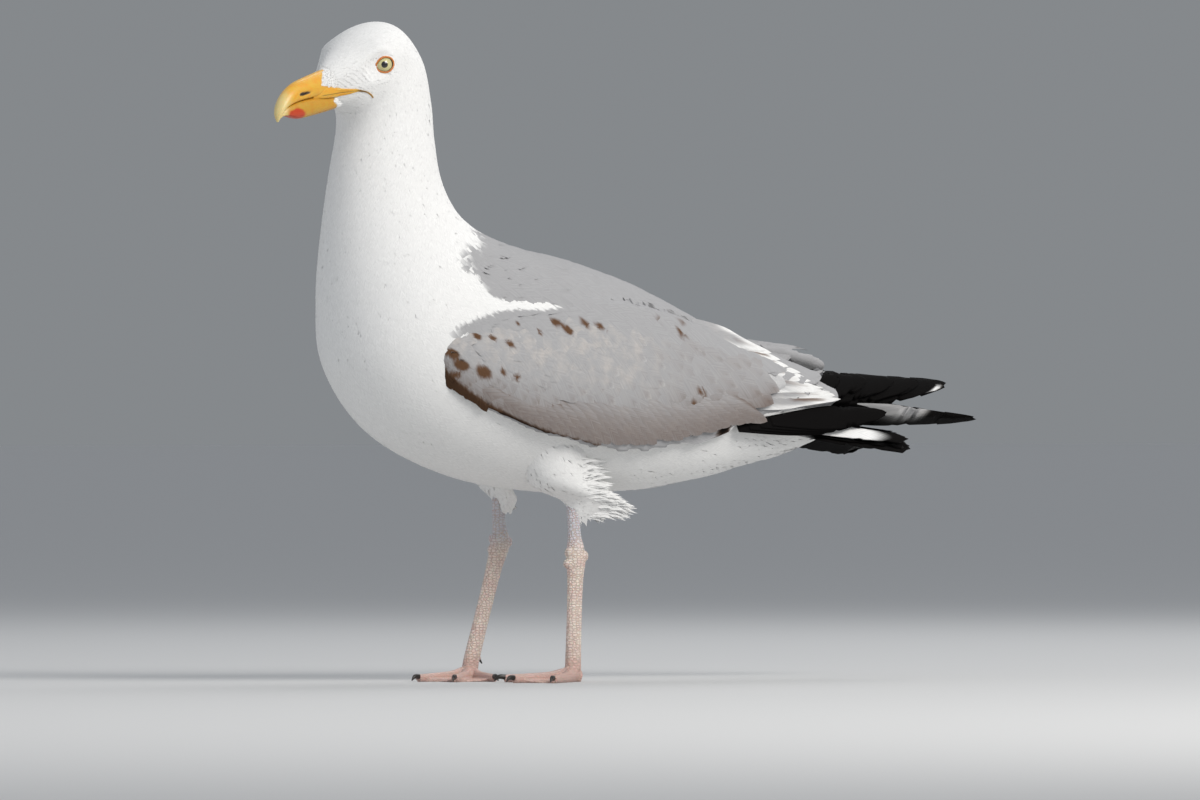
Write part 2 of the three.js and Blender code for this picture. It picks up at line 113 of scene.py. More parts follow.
GONYS = ((40, 338), (48, 335.6), (58, 333.4), (68, 331.4), (77, 329.9), (82.5, 330), (88, 331.4), (92.5, 333.6))
UPPER_HALF = (9.5, 7.6, 6.3, 5.5, 4.9, 4.1, 2.8, 0.7)
LOWER_HALF = (6.0, 6.0, 5.5, 4.9, 4.3, 3.6, 2.4, 0.6)
# How far forward the feathers reach on the side of the bill, by height; and the edges of the bare strip below them.
FEATHER_LINE = ((346, 64.4), (348.7, 64.4), (353.4, 62.6), (356.5, 59.5), (358.8, 55.6))
STRIP_TOP = ((29, 342.9), (31, 344.6), (34, 346.0), (37, 346.8), (40, 347.6), (50, 348.2), (64, 348.9), (68, 349))
MOUTH_LINE = ((29, 342.6), (31, 344.2), (34, 345.6), (37, 346.3), (40, 346.5), (46, 345.6), (62, 343.2), (68, 342.2))
STRIP_LOW = ((29, 342.3), (31, 343.9), (34, 345.3), (37, 345.9), (40, 345.9), (44, 344.2), (50, 342.6), (62, 341.6),
             (68, 341))
STRIP_ACROSS = ((40, 9), (46, 8.1), (54, 7.2), (62, 6.4), (68, 5.2))
CHIN_LINE = ((330, 45.5), (335, 47), (338, 48.6), (340.4, 52), (343, 50), (346, 44))
LEGS = {
    "left": {"hip": (27, 1, 128), "cuff": (27, 19.5, 101), "ankle": (27, 21.5, 73), "ball": (27, 19.5, 9),
             "heading": 17, "tuft": 17.5},
    "right": {"hip": (-38, 2, 128), "cuff": (-38, 9, 102), "ankle": (-38, 10, 81), "ball": (-38, -11, 9),
              "heading": 48, "tuft": 6.5},
}
TOES = {"inner": (43, 29), "middle": (54, 0), "outer": (51, -27)}  # length, degrees from the middle toe
HEEL, CLAW_LENGTH = 5, 6.5
TOE_SHAPE = ((0, 2.6, 3, 3.4), (0.16, 4, 4.2, 4.6), (0.4, 2.8, 3.1, 3.4), (0.7, 2.4, 2.7, 2.8), (1, 2.2, 2.3, 2.3))
PRIMARIES = {
    "left": {"tip": (-13, 313, 176), "root": (21, 158, 169), "count": 6, "lean": 52},
    "right": {"tip": (-17, 315, 154), "root": (22, 178, 160), "count": 4, "lean": 32},
}
PRIMARY_STEP, PRIMARY_WIDTH, FEATHER_THICK = 24, 25, 2.2
TAIL_ROOT, TAIL_TIP = (150, 158), (266, 146)
TAIL_PAIRS, TAIL_SPREAD, TAIL_DROOP, TAIL_WIDTH, TAIL_LEAN = 6, 4.6, 1.9, 27, 6
# Soft rises and hollows of the head: forward, up, across, reach, rise.
HEAD_FORMS = (
    (27, 370.5, 20.5, 6.5, 1.5),  # brow
    (15, 371, 22, 7, 0.5),  # behind the brow
    (36, 357, 15, 7.5, -1.2),  # lore
    (24, 352.5, 22, 7, 0.7),  # cheek
    (7, 358, 25, 8, -0.6),  # behind the eye
)


# ---- Curves and surfaces ----
def through(values, t):
    """The value at t, from 0 to 1, of a smooth curve through numbers at even steps."""
    v = np.asarray(values, float)
    last = len(v) - 1
    at = np.clip(t, 0, 1) * last
    i = np.minimum(at.astype(int), last - 1)
    f = at - i
    p1, p2 = v[i], v[i + 1]
    slope1 = (p2 - v[np.maximum(i - 1, 0)]) / 2
    slope2 = (v[np.minimum(i + 2, last)] - p1) / 2
    f2, f3 = f * f, f * f * f
    return (2 * f3 - 3 * f2 + 1) * p1 + (f3 - 2 * f2 + f) * slope1 + (3 * f2 - 2 * f3) * p2 + (f3 - f2) * slope2


def smooth(x, low, high):
    k = np.clip((x - low) / (high - low), 0, 1)
    return k * k * (3 - 2 * k)


def level(points, x):
    """The value at x of straight lines through (x, value) points."""
    return np.interp(x, *zip(*points))


def circle(count):
    return np.linspace(0, 2 * np.pi, count, endpoint=False)


def grid(rows, columns):
    return np.meshgrid(rows, columns, indexing="ij")


def unit(v):
    return v / np.maximum(np.linalg.norm(v, axis=-1, keepdims=True), 1e-12)


def dot(a, b):
    return (a * b).sum(-1)


def turned(p, angle):
    """Points turned about the neck's upright line, then moved to the frame's own origin."""
    x, y = p[..., 0], p[..., 1] - NECK_AXIS_Y
    c, s = np.cos(angle), np.sin(angle)
    return np.stack([x * c - y * s, NECK_AXIS_Y + x * s + y * c - MID_LENGTH, p[..., 2]], -1)


def in_head(forward, up, across):
    """A place in the head's terms: forward of the neck's line, above the floor, out to its left."""
    forward, up, across = np.broadcast_arrays(*(np.asarray(a, float) for a in (forward, up, across)))
    return turned(np.stack([across, NECK_AXIS_Y - forward, up], -1), HEAD_TURN)


def body(t, a):
    """The plumage's outer face: t runs from tail to bill, a goes round from the back over the bird's left."""
    t, a = np.broadcast_arrays(np.asarray(t, float), np.asarray(a, float))
    back_y, back_z, belly_y, belly_z, half, belt = (through(STATIONS[:, k], t) for k in range(6))
    c = np.cos(a)
    share = belt + c * np.where(c >= 0, 1 - belt, belt)
    p = np.stack([np.sin(a) * half, belly_y + (back_y - belly_y) * share, belly_z + (back_z - belly_z) * share], -1)
    for side in (1, -1):  # the shallow hollow round each eye
        reach = ORBIT_OUT + ORBIT_RADIUS
        centre = np.array([side * (EYE_ACROSS + reach * np.cos(OPENING_FORWARD)),
                           NECK_AXIS_Y - EYE_FORWARD - reach * np.sin(OPENING_FORWARD), EYE_UP])
        away = p - centre
        far = np.linalg.norm(away, axis=-1, keepdims=True)
        deep = ORBIT_RADIUS - far
        pushed = np.where(deep > ORBIT_RIM, deep, np.maximum(deep + ORBIT_RIM, 0) ** 2 / (4 * ORBIT_RIM))
        p = p + away / far * pushed * (t[..., None] > HEAD_UNTIL)
        for forward, up, across, wide, rise in HEAD_FORMS:
            spot = np.array([side * across, NECK_AXIS_Y - forward, up])
            near = np.exp(-(((p - spot) ** 2).sum(-1, keepdims=True)) / wide**2)
            out = p * [1, 0, 1] - [0, 0, 356]
            p = p + unit(out) * rise * near
    return turned(p, HEAD_TURN * smooth(t, HEAD_FROM, HEAD_UNTIL))


def wing(side, full=1.0):
    """The folded wing's outer face: u runs from the tips of the tertials to the bend, v from the lower edge up.

    full is how much of the swell between the edges it takes.
    """

    def place(u, v):
        u, v = np.broadcast_arrays(np.asarray(u, float), np.asarray(v, float))
        y, top_x, top_z, low_x, low_z, swell = (through(WING[:, k], 1 - u) for k in range(6))
        raised = 1 if side < 0 else 0
        lift = raised * smooth(y, TERTIALS_FROM, WING_END)
        rise_x, rise_z = top_x - low_x, top_z - low_z
        tall = np.hypot(rise_x, rise_z)
        inside = np.clip(v, 0, 1)
        out = swell * (np.sin(np.pi * inside) ** 0.8 if full == 1.0 else full * 4 * inside * (1 - inside))
        x = low_x + rise_x * v + out * rise_z / tall
        z = low_z + rise_z * v - out * rise_x / tall
        return np.stack([side * x, y + RIGHT_REACH * lift - MID_LENGTH, z + RIGHT_LIFT * lift], -1)

    return place


class Surface:
    """A face over u and v. Feathers lie toward falling u; past the edges it runs straight on."""

    def __init__(self, place, sign=1, u_range=(0.002, 0.998), v_range=(-50, 50)):
        self.place, self.sign, self.u_range, self.v_range = place, sign, u_range, v_range

    def slopes(self, u, v):
        e = 1e-3
        u, v = np.clip(u, *self.u_range), np.clip(v, *self.v_range)
        return (
            (self.place(u + e, v) - self.place(u - e, v)) / (2 * e),
            (self.place(u, v + e) - self.place(u, v - e)) / (2 * e),
        )

    def normal(self, su, sv):
        return unit(np.cross(su, sv)) * self.sign

    def at(self, u, v):
        """Place and normal."""
        cu, cv = np.clip(u, *self.u_range), np.clip(v, *self.v_range)
        su, sv = self.slopes(cu, cv)
        place = self.place(cu, cv) + (u - cu)[..., None] * su + (v - cv)[..., None] * sv
        return place, self.normal(su, sv)

    def ride(self, u, v, turn, x, y, h):
        """Points x across and y along a feather rooted at u, v, raised h off the face."""
        su, sv = self.slopes(u, v)
        n = self.normal(su, sv)
        back = -unit(su)
        side = np.cross(back, n)
        along = unit(np.cos(turn)[:, None] * back + np.sin(turn)[:, None] * side)
        across = np.cross(along, n)
        step = x[..., None] * across[:, None] + y[..., None] * along[:, None]
        a, b, c = dot(su, su)[:, None], dot(su, sv)[:, None], dot(sv, sv)[:, None]
        p, q = dot(step, su[:, None]), dot(step, sv[:, None])
        det = a * c - b * b
        uu = u[:, None] + (c * p - b * q) / det
        vv = v[:, None] + (a * q - b * p) / det
        place, normal = self.at(uu, vv)
        return place + normal * h[..., None], normal, along, across, uu, vv


BODY = Surface(body)
WINGS = {side: Surface(wing(side), -side, (0.002, 0.998), (0.04, 0.96)) for _, side in SIDES}
BLADES = {side: Surface(wing(side, 0.7), -side, (0.002, 0.998), (-0.2, 1.0)) for _, side in SIDES}


# ---- Meshes from arrays ----
def new_object(name, mesh, material):
    mesh.materials.append(material)
    made = bpy.data.objects.new(name, mesh)
    bpy.context.scene.collection.objects.link(made)
    return made


def mesh_of(name, points_mm, faces_of_sizes):
    """A mesh from points in millimetres and a list of arrays of faces, each array of one size of face."""
    mesh = bpy.data.meshes.new(name)
    loops = np.concatenate([f.ravel() for f in faces_of_sizes])
    sizes = np.concatenate([np.full(len(f), f.shape[1]) for f in faces_of_sizes])
    starts = np.concatenate([[0], np.cumsum(sizes)[:-1]])
    mesh.vertices.add(len(points_mm))
    mesh.vertices.foreach_set("co", (points_mm * MM).astype(np.float32).ravel())
    mesh.loops.add(len(loops))
    mesh.loops.foreach_set("vertex_index", loops.astype(np.int32))
    mesh.polygons.add(len(sizes))
    mesh.polygons.foreach_set("loop_start", starts.astype(np.int32))
    mesh.update(calc_edges=True)
    mesh.shade_smooth()
    return mesh


def put_uv(mesh, name, per_vertex):
    layer = mesh.uv_layers.new(name=name)
    corner = np.empty(len(mesh.loops), np.int32)
    mesh.loops.foreach_get("vertex_index", corner)
    layer.uv.foreach_set("vector", per_vertex[corner].astype(np.float32).ravel())


def put_marks(mesh, marks):
    """Grey, brown, dark and worn shares of each vertex, which the plumage material turns into colour."""
    colours = np.zeros((len(mesh.vertices), 4), np.float32)
    colours[:, : marks.shape[1]] = np.clip(marks, 0, 1)
    mesh.attributes.new("marks", "FLOAT_COLOR", "POINT").data.foreach_set("color", colours.ravel())


def tube(rings):
    """Points and faces of a tube with closed ends, through rings of shape (rings, around, 3)."""
    count, around = rings.shape[:2]
    index = np.arange(count * around).reshape(count, around)
    a, b = index[:-1], np.roll(index, -1, 1)[:-1]
    c, d = np.roll(index, -1, 1)[1:], index[1:]
    return rings.reshape(-1, 3), [np.stack([a, b, c, d], -1).reshape(-1, 4), index[:1, ::-1], index[-1:]]


def shade_tops(mesh, normals, tops):
    """Soft normals for the outer faces, which come first; the rest keep their own."""
    corner = np.empty(len(mesh.loops), np.int32)
    mesh.loops.foreach_get("vertex_index", corner)
    chosen = normals[corner]
    chosen[tops * 4:] = 0
    mesh.normals_split_custom_set(chosen.tolist())


def joined(parts):
    """Several (points, faces) as one."""
    points, faces, start = [], {}, 0
    for p, fs in parts:
        points.append(p)
        for f in fs:
            faces.setdefault(f.shape[1], []).append(f + start)
        start += len(p)
    return np.concatenate(points), [np.concatenate(f) for f in faces.values()]


def bvh_of(points_mm, faces):
    return BVHTree.FromPolygons([Vector(p) for p in points_mm], [tuple(map(int, f)) for fs in faces for f in fs])


def reach_of(tree, place_at, far, missed):
    """How far out a face lies on the line from place_at(far) in to place_at(0)."""
    start, end = Vector(place_at(far)), Vector(place_at(0))
    hit = tree.ray_cast(start, (end - start).normalized())
    return far - hit[3] if hit[0] is not None else missed


def min_distance(points, trees):
    """How far each point lies from the nearest face of any of the shells."""
    return np.array([min(tree.find_nearest(Vector(p))[3] for tree in trees) for p in points])


def grid_faces(rows, columns):
    index = np.arange(rows * columns).reshape(rows, columns)
    return np.stack([index[:-1, :-1], index[:-1, 1:], index[1:, 1:], index[1:, :-1]], -1).reshape(-1, 4)


# ---- Feathers ----
BAKE_PATCH = 0.0015  # half the size of a feather's patch on the unwrapped skin


class Kind:
    """How one kind of feather is cut: rows along it, columns across, how round and how frayed its tip is."""

    def __init__(self, rows, columns, tip=0.3, fray=0.0, root=0.5, camber=0.1, soft=0.5, shut=0.75,
                 step=0.12, wear=0.1, dip=0.0):
        self.rows, self.columns, self.tip, self.fray, self.step, self.wear = rows, columns, tip, fray, step, wear
        self.root, self.camber, self.soft, self.shut = root, camber, soft, shut
        self.dip = dip
        r = np.linspace(0, 1, rows + 1)[:, None]
        c = np.linspace(-1, 1, columns + 1)[None, :]
        self.r, self.c = (a.ravel() for a in np.broadcast_arrays(r, c))
        wide = root + (1 - root) * np.sin(np.pi / 2 * np.minimum(self.r / 0.6, 1))
        wide = wide * (1 - (1 - shut) * smooth(self.r, 0.6, 1))
        self.x = self.c * wide
        self.y = self.r * (1 - tip * self.c**2 * self.r)
        place = np.arange(len(self.r)) % (columns + 1)
        split = ((place - columns // 2) % 2 == 1) & (np.abs(self.c) < 1) & (self.r > 0.999)
        self.y = np.where(split, self.y - fray, self.y)
        self.patch = BAKE_PATCH * np.stack([self.c, 2 * self.r - 1], -1)
        self.faces = self._faces()

    def _faces(self):
        rows, columns = self.rows, self.columns
        index = np.arange((rows + 1) * (columns + 1)).reshape(rows + 1, columns + 1)
        left, right = index[:, 0], index[:, -1]
        under = np.stack([left[:-2], left[1:-1], right[1:-1], right[:-2]], -1)
        tip = np.concatenate([[left[-2]], index[-1], [right[-2]]])[None]
        base = index[0][None, ::-1]
        return [grid_faces(rows + 1, columns + 1), under, tip, base]


def feathers(name, surface, kind, at, material, marks, unwrap):
    """One joined mesh of feathers.

    at holds an array for each of u, v, turn, length, width, low and high: the place and heading of each root, its
    size, and how high its root and its tip stand off the face. marks(x, y, at, uu, vv, place) gives the colour
    shares, and unwrap(u, v) the root's place on the unwrapped skin.
    """
    n, m = len(at["u"]), len(kind.r)
    length, width = at["length"][:, None], at["width"][:, None]
    x, y = kind.x * width / 2, kind.y * length
    bow = kind.camber * width / 2
    rise = (1 - kind.step) * smooth(kind.y, -0.12, 0.5) + kind.step * kind.y - kind.dip * smooth(kind.y, 0.6, 1.0)
    h = at["low"][:, None] + (at["high"] - at["low"])[:, None] * rise - bow * kind.c**2 * np.minimum(kind.r * 3, 1)
    place, normal, along, across, uu, vv = surface.ride(at["u"], at["v"], at["turn"], x, y, h)
    slope = ((at["high"] - at["low"]) / at["length"])[:, None, None]
    tilt = -along[:, None] * slope * 2 * (1 - kind.y)[None, :, None]
    tilt = tilt + across[:, None] * (2 * kind.camber * kind.c)[None, :, None]
    shading = unit(normal + tilt * (1 - kind.soft))
    faces = [(f[None] + (np.arange(n) * m)[:, None, None]).reshape(-1, f.shape[1]) for f in kind.faces]
    mesh = mesh_of(name, place.reshape(-1, 3), faces)
    shares = marks(x, y, at, uu, vv, place)
    put_marks(mesh, shares.reshape(-1, shares.shape[-1]))
    vane = np.stack([x / 10 + 0 * y, y / 10 + at["id"][:, None] * 7.3], -1)
    put_uv(mesh, "Vane", vane.reshape(-1, 2))
    put_uv(mesh, "OFBake", (unwrap(at["u"], at["v"])[:, None] + kind.patch).reshape(-1, 2))
    shade_tops(mesh, shading.reshape(-1, 3), n * len(kind.faces[0]))
    return new_object(name, mesh, material)


def spread(surface, u_range, v_range, area_of, seed, cells=(900, 500)):
    """Roots spread evenly over a stretch of a face, each with its share of area: a number, or a function of u, v."""
    u = np.linspace(*u_range, cells[0] + 1)
    v = np.linspace(*v_range, cells[1] + 1)
    uc, vc = np.meshgrid((u[1:] + u[:-1]) / 2, (v[1:] + v[:-1]) / 2, indexing="ij")
    su, sv = surface.slopes(uc, vc)
    area = np.linalg.norm(np.cross(su, sv), axis=-1) * (u[1] - u[0]) * (v[1] - v[0])
    first = (np.arange(cells[1]) * GOLDEN) % 1
    total = np.cumsum(area / (area_of(uc, vc) if callable(area_of) else area_of), axis=0) + first
    before = np.vstack([first[None], total[:-1]])
    hit = np.floor(total) > np.floor(before)
    rng = np.random.default_rng(seed)
    jitter = rng.uniform(-0.5, 0.5, (2, hit.sum()))
    return uc[hit] + jitter[0] * (u[1] - u[0]), vc[hit] + jitter[1] * (v[1] - v[0])


def roots(u, v, seed, length, width, low, high, turn=0.0, wander=0.12, vary=0.15):
    """The arrays that feathers() wants, with a little chance in size and heading."""
    rng = np.random.default_rng(seed)
    n = len(u)
    as_array = lambda a: np.broadcast_to(np.asarray(a, float), (n,)).copy()
    size = 1 + rng.uniform(-vary, vary, n)
    return {
        "u": u, "v": v, "id": rng.uniform(0, 100, n),
        "turn": as_array(turn) + rng.normal(0, wander, n),
        "length": as_array(length) * size,
        "width": as_array(width) * (1 + rng.uniform(-vary, vary, n)),
        "low": as_array(low),
        "high": as_array(high) * (1 + rng.uniform(-0.3, 0.3, n)),
    }


def keep(at, mask):
    return {k: a[mask] for k, a in at.items()}


# ---- Materials ----
class Graph:
    """A tree of shader nodes. What add() and its shorter forms return are the new node's outputs, or one of them."""

    def __init__(self, tree):
        self.nodes, self.links = tree.nodes, tree.links

    def fill(self, node, values):
        """Puts numbers and colours into a node's inputs, and links what other nodes put out."""
        for name, value in values.items():
            if isinstance(value, (int, float, tuple)):
                node.inputs[name].default_value = value
            else:
                self.links.new(value, node.inputs[name])

    def add(self, kind, values, **settings):
        node = self.nodes.new(kind)
        for name, value in settings.items():
            setattr(node, name, value)
        self.fill(node, values)
        return node.outputs

    def math(self, kind, *values):
        return self.add("ShaderNodeMath", dict(enumerate(values)), operation=kind)[0]

    def mix(self, share, first, second, blend="MIX"):
        """Two colours mixed. The node's inputs 6 and 7 and its output 2 are the ones for colours."""
        values = {"Factor": share, 6: first, 7: second}
        return self.add("ShaderNodeMix", values, data_type="RGBA", blend_type=blend)[2]

    def layers(self, colour, *over):
        """A colour with others laid over it, each given as (share, colour)."""
        for share, tint in over:
            colour = self.mix(share, colour, (*tint, 1))
        return colour

    def noise(self, vector, scale, detail=3.0, rough=0.55):
        values = {"Vector": vector, "Scale": scale, "Detail": detail, "Roughness": rough}
        return self.add("ShaderNodeTexNoise", values)["Fac"]

    def ramp(self, value, low, high, to_low=0.0, to_high=1.0):
        values = dict(enumerate((value, low, high, to_low, to_high)))
        return self.add("ShaderNodeMapRange", values, interpolation_type="SMOOTHSTEP")[0]

    def bump(self, height, strength, distance):
        values = {"Height": height, "Strength": strength, "Distance": distance}
        return self.add("ShaderNodeBump", values)["Normal"]

    def coords(self):
        return self.add("ShaderNodeTexCoord", {})["Object"]

    def stretched(self, vector, up):
        return self.add("ShaderNodeMapping", {"Vector": vector, "Scale": (1, 1, up)})[0]

    def attribute(self, name):
        return self.add("ShaderNodeAttribute", {}, attribute_name=name)

    def channels(self, colour):
        return self.add("ShaderNodeSeparateColor", {"Color": colour})

    def axes(self, vector):
        return self.add("ShaderNodeSeparateXYZ", {0: vector})

    def uv(self, name):
        return self.axes(self.add("ShaderNodeUVMap", {}, uv_map=name)["UV"])

    def point(self, x, y):
        return self.add("ShaderNodeCombineXYZ", {0: x, 1: y})[0]


def material(name):
    made = bpy.data.materials.new(name)
    made.use_nodes = True
    return made, Graph(made.node_tree), made.node_tree.nodes["Principled BSDF"]


def plumage_group(look):
    """White, grey, brown and dark mixed by the marks, their borders broken up by the speckle."""
    group = bpy.data.node_groups.new("plumage_colour", "ShaderNodeTree")
    for name, kind in (("Marks", "NodeSocketColor"), ("Worn", "NodeSocketFloat"), ("Speckle", "NodeSocketFloat")):
        group.interface.new_socket(name, in_out="INPUT", socket_type=kind)
    group.interface.new_socket("Color", in_out="OUTPUT", socket_type="NodeSocketColor")
    graph = Graph(group)
    given, made = group.nodes.new("NodeGroupInput").outputs, group.nodes.new("NodeGroupOutput")
    shares = graph.channels(given["Marks"])
    ragged = graph.math("MULTIPLY", graph.math("SUBTRACT", given["Speckle"], 0.5), 0.32)
    colour = (*look.white, 1)
    for channel, tint, low, high in (("Red", look.grey, 0.08, 0.92), ("Green", look.brown, 0.1, 0.95),
                                     ("Blue", look.dark, 0.12, 0.88)):
        share = shares[channel]
        edge = graph.math("MULTIPLY", share, graph.math("SUBTRACT", 1.0, share))
        pushed = graph.math("MULTIPLY_ADD", graph.math("MULTIPLY", edge, 4.0), ragged, share)
        colour = graph.mix(graph.ramp(pushed, low, high), colour, (*tint, 1))
        if channel == "Red":
            colour = graph.mix(given["Worn"], colour, (*look.worn, 1))
    graph.fill(made, {"Color": colour})
    return group


def plumage_colour(graph, speckle, patches):
    marks = graph.attribute("marks")
    worn = graph.math("MULTIPLY", marks["Alpha"], graph.ramp(patches, 0.36, 0.7))
    tree = shared("plumage_colour", lambda: plumage_group(look()))
    values = {"Marks": marks["Color"], "Speckle": speckle, "Worn": worn}
    return graph.add("ShaderNodeGroup", values, node_tree=tree)["Color"]


def plumage_material():
    """Feathers: the marks' colours, fine barbs running out from the shaft, and a soft, dry face."""
    made, graph, shader = material("plumage")
    slow = graph.noise(graph.coords(), 120, 5, 0.65)
    vane = graph.uv("Vane")
    out = graph.math("ABSOLUTE", vane["X"])
    slant = graph.math("MULTIPLY_ADD", out, -2.6, vane["Y"])
    barb = graph.point(graph.math("MULTIPLY", slant, 14.0), graph.math("MULTIPLY", out, 1.2))
    colour = plumage_colour(graph, graph.noise(barb, 0.4, 3, 0.6), slow)
    barbs = graph.noise(barb, 1.0, 2, 0.6)
    strands = graph.noise(barb, 0.28, 3, 0.65)
    value = graph.math("MULTIPLY", graph.ramp(barbs, 0.3, 0.7, 0.95, 1.02),
                       graph.ramp(strands, 0.34, 0.66, 0.9, 1.03))
    grey = graph.add("ShaderNodeCombineColor", {"Red": value, "Green": value, "Blue": value})[0]
    graph.fill(shader, {
        "Base Color": graph.mix(1.0, colour, grey, "MULTIPLY"),
        "Roughness": 0.72,
        "Specular IOR Level": 0.05,
        "Normal": graph.bump(barbs, 0.1, 0.0001),
    })
    return made


def skin_material():
    """Down under the feathers, in the marks' colours."""
    made, graph, shader = material("downy_skin")
    fine = graph.noise(graph.coords(), 900, 4)
    graph.fill(shader, {
        "Base Color": plumage_colour(graph, fine, fine),
        "Roughness": 0.85,
        "Specular IOR Level": 0.1,
        "Normal": graph.bump(fine, 0.5, 0.0006),
    })
    return made


def bill_material(name, look, shade=1.0):
    """Horn: yellow, paling to the tip, an orange-red spot, a dark nostril, growth lines and a waxy shine."""
    made, graph, shader = material(name)
    # shade scales yellow and orange alike; below 1 it is painted shade, as for the downward-facing lower half
    yellow, orange = (np.multiply(c, shade) for c in (look.bill, (0.76, 0.34, 0.028)))
    coords = graph.coords()
    marks = graph.channels(graph.attribute("marks")["Color"])
    mottle = graph.noise(coords, 260, 4)
    spot = graph.math("MULTIPLY_ADD", graph.math("SUBTRACT", mottle, 0.5), 0.5, marks["Red"])
    colour = graph.layers(
        (*yellow, 1),
        (graph.ramp(mottle, 0.35, 0.75), orange),
        (marks["Green"], (0.74, 0.64, 0.30)),  # pale toward the tip
        (graph.ramp(spot, 0.3, 0.7), (0.52, 0.05, 0.01)),
        (marks["Blue"], (0.03, 0.018, 0.012)),  # nostril and mouth
        (graph.attribute("down")["Fac"], (0.62, 0.61, 0.59)),  # down at the base
    )
    lines = graph.noise(graph.stretched(coords, 3.2), 420, 4)
    graph.fill(shader, {
        "Base Color": colour,
        "Roughness": 0.36,
        "Subsurface Weight": 0.08,
        "Subsurface Scale": 0.004,
        "Normal": graph.bump(lines, 0.25, 0.0004),
    })
    return made


def eye_material(look):
    """A pale iris with fine rays, dark rims and a black pupil, under a wet coat."""
    made, graph, shader = material("eye")
    disc = graph.uv("Disc")
    out = disc["Y"]
    rays = graph.point(graph.math("MULTIPLY", disc["X"], 60.0), graph.math("MULTIPLY", out, 6.0))
    colour = graph.layers(
        (*look.iris, 1),
        (graph.ramp(graph.noise(rays, 1.0, 3), 0.35, 0.7), (0.50, 0.44, 0.17)),
        (graph.ramp(out, 0.66, 0.76), (0.05, 0.035, 0.02)),
        (graph.ramp(out, 0.30, 0.27), (0.004, 0.004, 0.005)),
    )
    graph.fill(shader, {"Base Color": colour, "Roughness": 0.25, "Coat Weight": 1.0, "Coat Roughness": 0.03})
    return made


def leg_material():
    """Bare skin of the legs and feet: bluish above the ankle, pinkish white below, with rows of raised scales."""
    made, graph, shader = material("leg_skin")
    coords = graph.coords()
    height = graph.axes(coords)["Z"]
    mottle = graph.ramp(graph.noise(coords, 120, 4), 0.3, 0.7)
    base = graph.layers(
        (0.78, 0.69, 0.60, 1),
        (mottle, (0.72, 0.56, 0.50)),
        (graph.ramp(height, 0.022, 0.006), (0.60, 0.39, 0.34)),  # foot
        (graph.ramp(height, 0.074, 0.09), (0.57, 0.56, 0.60)),  # above the ankle
    )
    seam = graph.layers((0.52, 0.40, 0.32, 1), (mottle, (0.46, 0.32, 0.27)))
    values = {"Vector": graph.stretched(coords, 1.5), "Scale": 420, "Randomness": 0.55}
    cells = graph.add("ShaderNodeTexVoronoi", values, feature="DISTANCE_TO_EDGE")
    raised = graph.ramp(cells["Distance"], 0.0, 0.16)
    graph.fill(shader, {
        "Base Color": graph.mix(graph.ramp(raised, 0.0, 1.0, 0.35, 1.0), seam, base),
        "Roughness": 0.42,
        "Subsurface Weight": 0.1,
        "Subsurface Scale": 0.003,
        "Normal": graph.bump(raised, 0.7, 0.0005),
    })
    return made


def ring_material():
    """The bare ring round the eye: orange, dark along its inner margin, finely wrinkled."""
    made, graph, shader = material("eye_ring")
    margin = graph.channels(graph.attribute("marks")["Color"])["Red"]
    grain = graph.noise(graph.coords(), 1500, 3)
    colour = graph.layers((0.66, 0.24, 0.035, 1), (graph.ramp(grain, 0.35, 0.65), (0.50, 0.13, 0.02)),
                          (margin, (0.035, 0.018, 0.01)))
    graph.fill(shader, {"Base Color": colour, "Roughness": 0.4, "Normal": graph.bump(grain, 0.4, 0.0002)})
    return made


def plain_material(name, colour, roughness):
    made, graph, shader = material(name)
    graph.fill(shader, {"Base Color": colour, "Roughness": roughness})
    return made


# ---- Places of the markings ----
# The grey of the back begins behind a line over the shoulders: degrees down from the top of the back, and y there.
MANTLE_EDGE = ((0, -93), (30, -112), (47, -130), (61, -122), (70, -120), (76, -130), (82, -138), (100, -140))
# White shows between the shoulder's feathers and the wing's: the lower and the upper edge of that gap, by y.
GAP_LOW = ((-140, 209), (-137, 210.6), (-127, 214.8), (-114.7, 217.7), (-102, 219), (-78, 219), (-66, 221.5))
GAP_TOP = ((-126, 240), (-119.6, 230), (-114.7, 225), (-88, 225), (-78, 223), (-66, 221.4))
# Brown blotches on the wing: y, z, reach.
BLOTCHES = (
    (-145.7, 193, 3.4), (-140.7, 186.4, 4), (-127, 182.3, 4.4), (-143, 180.5, 2.4), (-138.3, 171, 4.4),
    (-134.8, 166, 4), (-129.8, 203.3, 2.4), (-120, 202.4, 2), (-108.8, 198.8, 2.4), (-101.4, 210.6, 1.6),
    (-87.7, 205.9, 1.6), (-74.3, 211.5, 3.4), (-66.9, 207.1, 3.2), (-53.2, 211.2, 2.6), (-42.3, 209.5, 3),
    (-115, 182.6, 1.8), (-105.2, 179.4, 1.8), (5.8, 213, 2.2), (24, 212.4, 2.2), (21.6, 205.3, 2.8),
    (27.6, 164, 3), (34, 170.5, 2.4),
)


BACK_AXIS_UP = 205  # height of the line from which degrees round the back are measured


def round_back(p):
    """Degrees down from the top of the back."""
    return np.degrees(np.arctan2(np.abs(p[..., 0]), p[..., 2] - BACK_AXIS_UP))


def blotched(y, z):
    """How brown the blotches make a place on the side of the wing."""
    brown = np.zeros(y.shape)
    for blotch_y, blotch_z, reach in BLOTCHES:
        fore, up = y - blotch_y, z - blotch_z
        away = np.hypot((fore * 0.88 - up * 0.47) * 0.75, (fore * 0.47 + up * 0.88) * 1.2)
        brown = np.maximum(brown, smooth(away, reach * 1.3, reach * 0.6))
    return brown


def in_gap(y, z):
    return (y < -66) & (z > level(GAP_LOW, y)) & (z < level(GAP_TOP, y))


